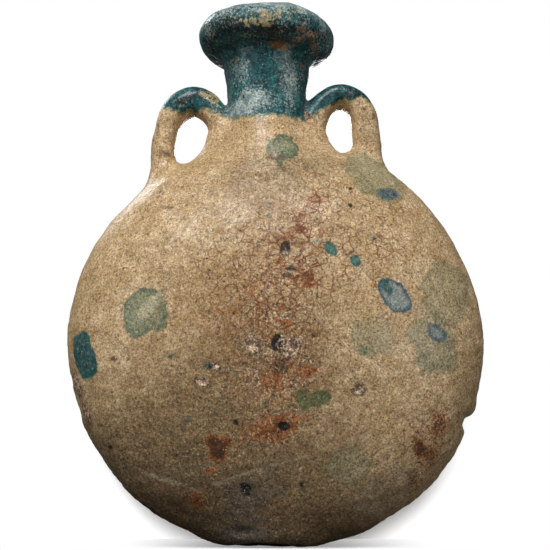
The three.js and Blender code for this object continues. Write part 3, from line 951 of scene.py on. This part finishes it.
def glaze(name):
    """A worn, crackled, semi-gloss glaze, built of noise and cells on the object's own coordinates."""
    material = bpy.data.materials.new(name)
    node = emptied_tree(material)
    place = Field(node("TexCoord"), "Object")
    wobble = Field(node("TexNoise", Vector=place, Scale=1 / (5 * mm), Detail=2.0), "Color")
    wobble_reach = (2.4 * mm, 2.4 * mm, 2.4 * mm)
    warped = Field(
        node("VectorMath", {"operation": "MULTIPLY_ADD"}, _0=wobble, _1=wobble_reach, _2=place)
    )

    def moved(shift):
        """The place, shifted so that no two patterns look alike."""
        return Field(node("VectorMath", {"operation": "ADD"}, _0=place, _1=(shift, shift, shift)))

    def noise(size, detail, roughness, shift=0.0):
        """Clouds of a size, with finer clouds in them."""
        return Field(
            node("TexNoise", Vector=moved(shift), Scale=1 / size, Detail=detail, Roughness=roughness)
        )

    def step(low, high, field):
        """0 where a field is below low, 1 above high, and a cubic between them."""
        settings = {"interpolation_type": "SMOOTHSTEP"}
        return Field(node("MapRange", settings, _0=field, _1=low, _2=high))

    def blend(under, over, share, kind="MIX"):
        """A colour laid over another by a share."""
        under, over = (c if isinstance(c, Field) else (*c, 1) for c in (under, over))
        settings = {"data_type": "RGBA", "blend_type": kind, "clamp_factor": True}
        return Field(node("Mix", settings, _0=share, _6=under, _7=over), 2)

    def dusted(under, over, field, low, high, share):
        """A colour laid over another by a share, where a field passes from low to high."""
        return blend(under, over, step(low, high, field) * share)

    def kept(name, output="Fac"):
        """A value or colour that dress keeps with the mesh."""
        return Field(node("Attribute", {"attribute_name": name}), output)

    def cracks(size, width):
        """Thin lines of a width along the borders between wobbling cells of a size."""
        cells = node("TexVoronoi", {"feature": "DISTANCE_TO_EDGE"}, Vector=warped, Scale=1 / size)
        return 1.0 - step(0.2 * width / size, width / size, Field(cells, "Distance"))

    def dots(cell, radius, share, shift):
        """Round dots of a radius, one in the middle of each chosen cell, for a share of the cells."""
        cells = node("TexVoronoi", Vector=moved(shift), Scale=1 / cell)
        number = Field(node("SeparateColor", _0=Field(cells, "Color")), 1)
        outside = step(0.5 * radius / cell, 1.2 * radius / cell, Field(cells, "Distance"))
        return number.below(share) * (1.0 - outside)

    # Specks shared by every layer
    fine = noise(1.0 * mm, 3, 0.7)
    coarse = noise(2.4 * mm, 3, 0.6, shift=0.3)
    blotch = noise(7 * mm, 3, 0.55, shift=0.7)
    broad = noise(38 * mm, 2, 0.5, shift=1.1)

    # Cream glaze over buff clay
    cream = blend(light_cream, deep_cream, step(0.35, 0.65, blotch))
    cream = dusted(cream, buff, broad, 0.45, 0.7, 0.6)
    cream = dusted(cream, pale_cream, coarse, 0.55, 0.75, 0.35)
    cream = dusted(cream, clay_brown, noise(1.6 * mm, 3, 0.7, shift=2.0), 0.56, 0.70, 0.45)
    cream = dusted(cream, milk, noise(1.3 * mm, 2, 0.7, shift=3.0), 0.60, 0.72, 0.5)

    # Crackle, as wide and fine cracks that are stained in patches, and golden staining round it
    wide_cracks = cracks(5.8 * mm, 0.50 * mm)
    fine_cracks = cracks(2.6 * mm, 0.34 * mm)
    ember = kept("ember")
    patchy = step(0.38, 0.62, noise(9 * mm, 2, 0.5, shift=4.0))
    crack_depth = kept("crackle") + ember * 0.5
    wide_share = wide_cracks * (crack_depth * (patchy * 0.55 + 0.35))
    fine_share = fine_cracks * (crack_depth * (patchy * 0.45))
    crack_colour = blend(crack_brown, crack_russet, step(0.1, 0.7, ember))
    amber = kept("amber") * (blotch * 1.1 + 0.1)
    cream = dusted(cream, gold, amber, 0.0, 1.1, 0.85)

    # Grime and painted shade, as brown and grey dots that run together
    dirt_and_shade = kept("grime")
    dirt_and_shade_share = step(0.0, 1.0, dirt_and_shade * (coarse * 1.3 + 0.25))
    earth_and_shade = blend(light_earth, grey_earth, step(0.4, 0.6, blotch))
    earth_and_shade = blend(earth_and_shade, deep_earth_and_shade, step(0.9, 1.7, dirt_and_shade))
    earth_and_shade = dusted(earth_and_shade, peat, noise(1.7 * mm, 3, 0.7, shift=5.0), 0.50, 0.60, 0.75)
    earth_and_shade = dusted(earth_and_shade, pale_dust, noise(1.3 * mm, 3, 0.7, shift=6.0), 0.57, 0.66, 0.65)
    cream = blend(cream, earth_and_shade, dirt_and_shade_share * 0.9)

    # Rust, as a veil, dark spots, pale ash and ragged marks
    veil = noise(5 * mm, 3, 0.6, shift=16.0) + ember * 0.16
    cream = dusted(cream, rust_veil, veil, 0.52, 0.72, ember * 0.50)
    spots = noise(1.9 * mm, 4, 0.75, shift=17.0) + ember * 0.10
    cream = dusted(cream, rust_spot, spots, 0.61, 0.68, 0.85)
    ash = noise(1.5 * mm, 4, 0.85, shift=17.5) + ember * 0.06
    cream = dusted(cream, pale_ash, ash, 0.57, 0.65, ember * 0.80)
    rust = kept("rust")
    ragged = noise(2.0 * mm, 5, 0.9, shift=7.0) * 3.6 - 1.8
    rust_share = step(0.50, 0.72, rust + ragged + wide_cracks * 0.15)
    deep = rust + (noise(1.5 * mm, 4, 0.85, shift=7.5) - 0.5) * 3.4
    rust_colour = blend(bright_rust, dark_rust, step(0.36, 1.0, deep))
    cream = dusted(cream, rust_halo, rust, 0.1, 0.8, 0.28)
    cream = blend(cream, rust_colour, rust_share * 0.85)

    # Dark pinpricks and pale flecks all over, and the cracks over them
    pricks = dots(3.0 * mm, 0.42 * mm, 0.55, 0.5)
    flecks = dots(2.4 * mm, 0.40 * mm, 0.50, 0.9)
    cream = blend(cream, prick_brown, pricks * 0.70)
    cream = blend(cream, fleck_cream, flecks * 0.45)
    cream = blend(cream, crack_colour, wide_share)
    cream = blend(cream, fine_crack_tan, fine_share)

    # Pinholes, of many sizes
    holes = node("TexVoronoi", Vector=place, Scale=1 / (9 * mm))
    sizes = Field(node("SeparateColor", _0=Field(holes, "Color")))
    hole_share = Field(holes, "Distance").below((sizes - 0.45) * 0.12)
    cream = blend(cream, pinhole_brown, hole_share * 0.85)

    # The worn edge
    edge_share = step(0.45, 0.75, kept("edge") + (coarse - 0.5) * 0.9)
    cream = blend(cream, edge_brown, edge_share * 0.6)

    # Turquoise, with scorched places and painted shade under the mouth roll, clouded places and a
    # weathered film, and a green run below it
    mottle = step(0.35, 0.68, noise(5 * mm, 3, 0.6, shift=10.0))
    turquoise = blend(deep_turquoise, light_turquoise, mottle)
    turquoise = dusted(turquoise, ink, noise(1.9 * mm, 3, 0.7, shift=11.0), 0.52, 0.60, 0.85)
    turquoise = blend(turquoise, foam, dots(1.9 * mm, 0.42 * mm, 0.35, 1.3) * 0.50)
    scorch = noise(1.7 * mm, 4, 0.7, shift=11.5) + kept("scorch") * 0.22
    turquoise = dusted(turquoise, scorched_and_shade_black, scorch, 0.60, 0.70, 0.85)
    cloud = noise(2.0 * mm, 4, 0.7, shift=12.5) + kept("cloud") * 0.24
    turquoise = dusted(turquoise, cloud_cream, cloud, 0.62, 0.72, 0.80)
    film = noise(1.4 * mm, 4, 0.85, shift=12.0) + kept("bloom") * 0.24
    film_colour = blend(pale_film, grey_film, step(0.4, 0.6, blotch))
    turquoise = dusted(turquoise, film_colour, film, 0.58, 0.67, 0.90)
    above_line = kept("turquoise") + (coarse - 0.5) * 7.0
    colour = dusted(cream, run_green, above_line, -2.2, 0.2, 0.75)
    glassy = step(-0.8, 1.4, above_line)
    colour = blend(colour, turquoise, glassy)

    # Stains and pits. A strong stain has a sharp edge and a weak one a soft edge
    cover = kept("stain_cover")
    ramp = kept("stain", "Alpha")
    softness = 0.20 - step(0.78, 0.90, cover) * 0.15
    frayed = ramp + (coarse + fine - 1.0) * (softness * 2.2)
    thinned = cover * (noise(3.2 * mm, 3, 0.6, shift=8.5) * 0.9 + 0.55)
    stain_share = step(0.5 - softness, 0.5 + softness, frayed) * thinned
    well_in = step(0.60, 0.74, ramp)
    pale_specks = step(0.58, 0.70, noise(1.3 * mm, 2, 0.7, shift=8.0)) * 0.60
    stain = blend(kept("stain", "Color"), stain_pale, pale_specks * well_in)
    stain = dusted(stain, stain_dark, noise(1.4 * mm, 2, 0.7, shift=9.0), 0.58, 0.68, 0.55)
    colour = blend(colour, stain, stain_share)
    pale_dots = dots(1.7 * mm, 0.40 * mm, 0.40, 1.7) * 0.55
    colour = blend(colour, stain_foam, stain_share * well_in * pale_dots)
    pitted = kept("pitted")
    rubble = noise(1.9 * mm, 4, 0.8, shift=18.0)
    # The pits' floors are pale where the rubble stands up and dark where it sinks: the crumbled body's
    # colour, and a painted highlight and shade on that relief.
    pit_floor_light_and_shade = blend(pit_brown_and_shade, pit_chalk_and_highlight, step(0.47, 0.58, rubble))
    colour = blend(colour, pit_floor_light_and_shade, pitted * 0.75)

    # Grain: every layer is sprinkled with lighter and darker specks
    specks = (noise(1.6 * mm, 4, 0.85, shift=14.0) - 0.5) * 2.8
    dust = (noise(0.9 * mm, 2, 0.7, shift=15.0) - 0.5) * 2.8
    grain = (specks + dust + 1.0).at_least(0.2)
    grey = Field(node("CombineColor", _0=grain, _1=grain, _2=grain))
    colour = blend(colour, grey, 1.0, "MULTIPLY")

    # The skin of the glass: dull where the grime and painted shade lie or where it is rusty, and glossier
    # in the turquoise
    roughness = coarse * 0.30 + 0.40 + dirt_and_shade_share * 0.22 + rust_share * 0.15
    height = fine * (0.17 * mm) + coarse * (0.26 * mm)
    height = height + pitted * rubble * (0.9 * mm)
    height = height - pricks * (0.12 * mm)
    height = height + noise(4.5 * mm, 2, 0.5, shift=13.0) * (0.35 * mm)
    height = height - wide_share * (0.05 * mm)
    height = height - hole_share * (0.30 * mm)
    bump = Field(node("Bump", Strength=0.8, Distance=1.0, Height=height))
    coat = glassy * 0.12 + (0.26 - (dirt_and_shade_share + rust_share) * 0.20)
    surface = node(
        "BsdfPrincipled",
        Base_Color=colour,
        Roughness=roughness,
        Specular_IOR_Level=0.22,
        Normal=bump,
        Coat_Weight=coat,
        Coat_Roughness=0.16,
        Coat_Normal=bump,
    )
    node("OutputMaterial", Surface=Field(surface))
    return material


cream_glaze = glaze("cream_glaze")
turquoise_glaze = glaze("turquoise_glaze")

# Front and back shells: the two thrown bowls of the body, with the coil that was pressed into their
# join and smoothed down. Each is a skin over a smooth inside, open where the neck stands, and the
# two meet rim to rim in the plane of the join.

shell_steps = 280
profile_steps = 3000
wall_at_pole = 6.5 * mm
wall_at_rim = 9.5 * mm
outer_hole = 19.5 * mm
inner_hole = 17.5 * mm


def disc_grid(steps):
    """A square grid bent into a round disc: each square ring of the grid becomes a circle, and the
    place along a side becomes an angle."""
    side = np.linspace(-1, 1, steps + 1)
    u, v = (grid.ravel() for grid in np.meshgrid(side, side))
    wide = np.abs(u) >= np.abs(v)
    far = np.where(wide, u, v)
    far = np.where(far == 0, 1e-12, far)
    angle = math.pi / 4 * np.where(wide, v, u) / far
    x = far * np.where(wide, np.cos(angle), np.sin(angle))
    z = far * np.where(wide, np.sin(angle), np.cos(angle))
    return x, z


def bowl_points(x, z, half_width, half_depth, hole, facing):
    """A bowl over a disc, walked at even steps of length from its pole to its rim.

    On the unrolled skin beside the neck, w = along + i inwards, the straight rim is bent round the
    neck hole by (w + sqrt(w - 2r) sqrt(w + 2r)) / 2, and the bend dies out with distance."""
    bend = np.linspace(0, math.pi / 2, profile_steps)
    out = half_width * np.sin(bend) ** (2 / bowl_bluntness)
    deep = half_depth * np.clip(np.cos(bend), 0, 1) ** (2 / bowl_bluntness)
    run = np.concatenate([[0], np.cumsum(np.hypot(np.diff(out), np.diff(deep)))])
    turn_to_neck = neck_x / half_width
    flat = (np.arctan2(x, z) - turn_to_neck) * half_width + 1j * (1 - np.hypot(x, z)) * run[-1]
    bent = (flat + np.sqrt(flat - 2 * hole) * np.sqrt(flat + 2 * hole)) / 2
    flat = flat + (bent - flat) * (1 - smoothstep(3 * hole, 6 * hole, np.abs(flat)))
    turn = flat.real / half_width + turn_to_neck
    walked = run[-1] - flat.imag
    at_out, at_deep = np.interp(walked, run, out), np.interp(walked, run, deep)
    height = at_out * np.cos(turn) * (body_half_height / body_half_width)
    return np.stack([at_out * np.sin(turn), facing * at_deep, body_middle_z + height], axis=1)


def handles_gap(p):
    """Distance to the nearer handle."""
    return np.minimum(handle_gap(left_handle, p), handle_gap(right_handle, p))


def beside_body(p):
    """Distance to what stands on the body: the smaller of those to the neck and the handles."""
    return np.minimum(neck_gap(p), handles_gap(p))


def rim_of(numbers):
    """The vertex numbers round the edge of a square grid, in order."""
    return np.concatenate([numbers[0, :-1], numbers[:-1, -1], numbers[-1, :0:-1], numbers[:0:-1, 0]])


def shell(name, facing):
    """One half of the body: its skin, its inside at half as many steps, and a strip round the rim."""
    x, z = disc_grid(shell_steps)
    outer = bowl_points(x, z, body_half_width, body_half_depth, outer_hole, facing)
    outer = settled(outer, body_gap, beside_body)
    numbers = np.arange(len(outer)).reshape(shell_steps + 1, -1)
    kept = numbers[::2, ::2].ravel()
    inner_width, inner_depth = body_half_width - wall_at_rim, body_half_depth - wall_at_pole
    inner = bowl_points(x[kept], z[kept], inner_width, inner_depth, inner_hole, facing)
    inner_numbers = len(outer) + np.arange(len(inner)).reshape(shell_steps // 2 + 1, -1)
    rim, inner_rim = rim_of(numbers), rim_of(inner_numbers)
    even, odd, next_even = rim[::2], rim[1::2], np.roll(rim[::2], -1)
    next_inner = np.roll(inner_rim, -1)
    strip = [(even, odd, inner_rim), (odd, next_even, next_inner), (odd, next_inner, inner_rim)]
    triangles = np.vstack([np.stack(corners, axis=1) for corners in strip])
    quads = np.vstack([grid_quads(numbers), grid_quads(inner_numbers)])
    return make_piece(name, np.vstack([outer, inner]), quads, triangles, creases=[rim, inner_rim])


front_shell = shell("front_shell", -1)
back_shell = shell("back_shell", 1)
for piece, nodes in ((front_shell, ["front_bowl"]), (back_shell, ["back_bowl", "seam_coil"])):
    dress(piece)
    piece.data.materials.append(cream_glaze)
    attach(piece, "root")
    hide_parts(*nodes)


# Neck: a thrown clay tube with its bore, luted over the hole in the body, with the wet clay that
# was smoothed into the corners at its front and back. It is glazed turquoise above the drip line.

neck_columns = 240
neck_rows = 116
bore_rows = 16
seat_search_depth = 8 * mm  # below the body's top, where the search for the seat starts
no_triangles = np.zeros((0, 3), int)


def neck_tube():
    """Circles of the neck's radius from its seat in the body up to its end, and back down its bore.
    The seat is the surface at seat_depth inside the body's skin."""
    turn = np.linspace(0, 2 * math.pi, neck_columns, endpoint=False)
    up = np.tile([0.0, 0.0, 1.0], (neck_columns, 1))

    def ring_of(radius, z):
        return np.stack([neck_x + radius * np.cos(turn), radius * np.sin(turn), z + 0 * turn], axis=1)

    def seat(radius):
        start = ring_of(radius, body_top_z - seat_search_depth)
        return moved_to(lambda p: body_gap(p) + seat_depth, start, up)[:, 2]

    outer_seat, bore_seat = seat(neck_foot_radius), seat(neck_bore)
    outer, bore = [], []
    for share in np.linspace(0, 1, neck_rows):
        z = outer_seat + (neck_end_z - outer_seat) * share
        outer.append(ring_of(neck_radius(z), z))
    for share in np.linspace(1, 0, bore_rows):
        bore.append(ring_of(neck_bore, bore_seat + (neck_end_z - bore_seat) * share))

    def outside(p):
        return np.hypot(p[:, 0] - neck_x, p[:, 1]) - neck_radius(p[:, 2])

    def neighbours(p):
        return np.minimum(np.minimum(body_gap(p), ring_gap(p)), handles_gap(p))

    outer = settled(np.vstack(outer), outside, neighbours)
    points = np.vstack([outer, *bore])
    numbers = np.arange(len(points)).reshape(-1, neck_columns)
    quads = grid_quads(numbers, round_rows=True, round_columns=True)
    creases = [numbers[0], numbers[neck_rows - 1], numbers[neck_rows], numbers[-1]]
    return make_piece("neck", points, quads, no_triangles, creases)


neck = neck_tube()
dress(neck)
neck.data.materials.append(turquoise_glaze)
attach(neck, "root")
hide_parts("neck", "front_neck_fillet", "back_neck_fillet")

# Mouth roll: the thick ring of clay that takes the end of the neck in its underside. It was rolled,
# bent round, luted on and smoothed, and is glazed turquoise inside and out.

ring_columns = 400
ring_rows = 128


def ring_roll():
    """A superellipse section, cos^(2/n) outwards and sin^(2/n) upwards, carried round the mouth and
    turned by the lean."""
    turn, around = np.meshgrid(
        np.linspace(0, 2 * math.pi, ring_columns, endpoint=False),
        np.linspace(0, 2 * math.pi, ring_rows, endpoint=False),
    )
    power = 2 / ring_roundness
    c, s = np.cos(around), np.sin(around)
    out = ring_crest_radius + (ring_outer_radius - ring_crest_radius) * np.sign(c) * np.abs(c) ** power
    up = ring_half_height * np.sign(s) * np.abs(s) ** power
    across = out * np.cos(turn)
    x = neck_x + across * math.cos(ring_lean) + up * math.sin(ring_lean)
    z = ring_middle_z + up * math.cos(ring_lean) - across * math.sin(ring_lean)
    points = np.stack([x, out * np.sin(turn), z], axis=-1).reshape(-1, 3)
    points = settled(points, ring_gap, neck_gap)
    numbers = np.arange(len(points)).reshape(ring_rows, ring_columns)
    return make_piece("mouth_roll", points, grid_quads(numbers, True, True), no_triangles)


mouth_roll = ring_roll()
dress(mouth_roll)
mouth_roll.data.materials.append(turquoise_glaze)
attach(mouth_roll, "root")
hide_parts("mouth_ring")

# Handle rolls: two loops of flattened clay roll, each luted to the shoulder at both legs, with the
# wet clay smoothed round its outer foot. They are cream below the drip line and turquoise above.

handle_columns = 88
handle_rows = 230


def handle_tube(name, handle):
    """A superellipse section, cos^(2/n) across and sin^(2/n) deep, carried along the middle line. Each
    lengthwise line of the tube starts and ends where it is seat_depth inside the body's skin."""
    line, across, half_thick = handle["roll"]
    around = np.linspace(0, 2 * math.pi, handle_columns, endpoint=False)
    power = 2 / handle_squareness
    thick = np.sign(np.cos(around)) * np.abs(np.cos(around)) ** power
    deep = handle_half_depth * np.sign(np.sin(around)) * np.abs(np.sin(around)) ** power

    def section(x, z, across_x, across_z, half):
        return np.stack([x + across_x * half * thick, deep + 0 * x, z + across_z * half * thick], axis=-1)

    full = section(line[:, :1], line[:, 2:], across[:, :1], across[:, 2:], half_thick[:, None])
    seated = body_gap(full.reshape(-1, 3)).reshape(len(line), -1) > -seat_depth
    start = seated.argmax(axis=0)
    end = len(line) - 1 - seated[::-1].argmax(axis=0)
    place = start + (end - start) * np.linspace(0, 1, handle_rows)[:, None]
    samples = np.arange(len(line))
    x, z, across_x, across_z, half = (
        np.interp(place, samples, values)
        for values in (line[:, 0], line[:, 2], across[:, 0], across[:, 2], half_thick)
    )
    points = section(x, z, across_x, across_z, half).reshape(-1, 3)

    def neighbours(p):
        return np.minimum(body_gap(p), neck_gap(p))

    points = settled(points, lambda p: handle_gap(handle, p), neighbours)
    numbers = np.arange(len(points)).reshape(handle_rows, handle_columns)
    caps = []
    for centre, edge in enumerate((numbers[0], numbers[-1]), start=len(points)):
        caps.append(np.stack([edge, np.roll(edge, -1), np.full(handle_columns, centre)], axis=1))
    ends = [points[numbers[0]].mean(axis=0), points[numbers[-1]].mean(axis=0)]
    quads = grid_quads(numbers, round_columns=True)
    return make_piece(name, np.vstack([points, ends]), quads, np.vstack(caps), [numbers[0], numbers[-1]])


left_roll = handle_tube("left_handle_roll", left_handle)
right_roll = handle_tube("right_handle_roll", right_handle)
for piece, nodes in (
    (left_roll, ["left_handle", "left_foot_fillet"]),
    (right_roll, ["right_handle", "right_foot_fillet"]),
):
    dress(piece)
    piece.data.materials.append(cream_glaze)
    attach(piece, "root")
    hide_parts(*nodes)


# Camera, at the photograph's viewing angle: below the flask's middle and looking ten degrees up.
# The frame is shifted by whole pixels of the photograph.

camera_distance = 630.28 * mm
camera_height = 38.87 * mm
camera_upward = 10
photo_width = 550
shift_right, shift_up = 1, 2

camera = bpy.data.objects.new("camera", bpy.data.cameras.new("camera"))
bpy.context.scene.collection.objects.link(camera)
bpy.context.scene.camera = camera
camera.location = (0, -camera_distance, camera_height)
camera.rotation_euler = (math.radians(90 + camera_upward), 0, 0)
camera.data.sensor_width = 36
camera.data.lens = 73.96
camera.data.shift_x = -shift_right / photo_width
camera.data.shift_y = -shift_up / photo_width

# Floor and backdrop. Both are white to the camera and keep the flask's soft shadow close to its foot.
# The backdrop is a card close behind the flask that only a camera in front of it sees. The fading
# is where the shadow gives way to white, in metres from the middle of the sheet.

floor_size = 4
floor_fading = (0.022, 0.088)
floor_squeeze = (1, 0.25, 1)  # the floor's distances count mostly across the view
floor_glow = 0.33
unseen_grey = (0.06, 0.06, 0.06, 1)
card_size = 0.40
card_place = (0, 0.056, 0)
card_fading = (0.085, 0.150)
card_glow = 0.25
paper_grey = (0.7, 0.7, 0.7, 1)
white = (1, 1, 1, 1)


def paper(name, fading, squeeze, glow, is_card):
    """Matt paper that takes shadows near the flask's foot and glows an even white further away. To
    anything but the camera it is dark and matt. A card is clear instead, also to a camera behind it."""
    material = bpy.data.materials.new(name)
    node = emptied_tree(material)
    place = Field(node("TexCoord"), "Object")
    squeezed = Field(node("VectorMath", {"operation": "MULTIPLY"}, _0=place, _1=squeeze))
    reach = Field(node("VectorMath", {"operation": "LENGTH"}, _0=squeezed), "Value")
    settings = {"interpolation_type": "SMOOTHSTEP"}
    far = Field(node("MapRange", settings, _0=reach, _1=fading[0], _2=fading[1]))
    matt = Field(node("BsdfDiffuse", Color=paper_grey))
    lit = Field(node("AddShader", _0=matt, _1=Field(node("Emission", Color=white, Strength=glow))))
    shining = Field(node("Emission", Color=white, Strength=1.0))
    shown = Field(node("MixShader", _0=far, _1=lit, _2=shining))
    seen = Field(node("LightPath"), "Is Camera Ray")
    if is_card:
        behind = Field(node("NewGeometry"), "Backfacing")
        seen = Field(node("Math", {"operation": "SUBTRACT", "use_clamp": True}, _0=seen, _1=behind))
        unseen = Field(node("BsdfTransparent", Color=white))
    else:
        unseen = Field(node("BsdfDiffuse", Color=unseen_grey))
    node("OutputMaterial", Surface=Field(node("MixShader", _0=seen, _1=unseen, _2=shown)))
    return material


bpy.ops.mesh.primitive_plane_add(size=floor_size)
floor = bpy.context.object
floor.name = "floor"
floor.data.materials.append(paper("floor_paper", floor_fading, floor_squeeze, floor_glow, False))
bpy.ops.mesh.primitive_plane_add(size=card_size, location=card_place, rotation=(math.pi / 2, 0, 0))
backdrop = bpy.context.object
backdrop.name = "backdrop"
backdrop.data.materials.append(paper("backdrop_paper", card_fading, (1, 1, 1), card_glow, True))

# Lamps. Soft boxes light the flask and nothing else, and a wash of its own lights each sheet. Light
# linking does this: one collection leaves out both sheets, and each sheet is alone in another.

aim = (0, 0, 0.15)
all_but_paper = bpy.data.collections.new("all_but_paper")
alone = {}
for sheet in (floor, backdrop):
    alone[sheet.name] = bpy.data.collections.new("only_" + sheet.name)
    alone[sheet.name].objects.link(sheet)
    all_but_paper.objects.link(sheet)
for entry in all_but_paper.collection_objects:
    entry.light_linking.link_state = "EXCLUDE"


def lamp(name, place, size, power, receivers):
    """A square soft box that faces the middle of the flask, with its size in metres and power in watts."""
    data = bpy.data.lights.new(name, "AREA")
    data.size = size
    data.energy = power
    light = bpy.data.objects.new(name, data)
    bpy.context.scene.collection.objects.link(light)
    light.location = place
    light.rotation_euler = (Vector(aim) - Vector(place)).to_track_quat("-Z", "Y").to_euler()
    light.light_linking.receiver_collection = receivers


lamp("key", (-0.26, -1.06, 1.36), 0.6, 25, all_but_paper)
lamp("window", (-1.05, -0.80, 0.24), 0.3, 2.7, all_but_paper)
lamp("fill", (1.05, -1.05, 0.22), 0.5, 4.4, all_but_paper)
lamp("rim", (-0.75, 0.80, 1.10), 0.35, 5, all_but_paper)
lamp("back_fill", (0.05, 1.30, 0.45), 0.5, 10, all_but_paper)
lamp("backdrop_wash", (-0.05, -1.75, 0.36), 0.5, 52, alone["backdrop"])
lamp("floor_wash", (-0.05, -0.55, 1.40), 0.8, 27, alone["floor"])

# World: a dim even light on the flask, and plain white to the camera

world_strength = 0.10
world = bpy.data.worlds.new("world")
bpy.context.scene.world = world
world_node = emptied_tree(world)
camera_sees = Field(world_node("LightPath"), "Is Camera Ray")
dim = Field(world_node("Background", Strength=world_strength))
bright = Field(world_node("Background", Color=white))
sky = Field(world_node("MixShader", _0=camera_sees, _1=dim, _2=bright))
world_node("OutputWorld", Surface=sky)
bpy.context.scene.view_settings.view_transform = "Standard"
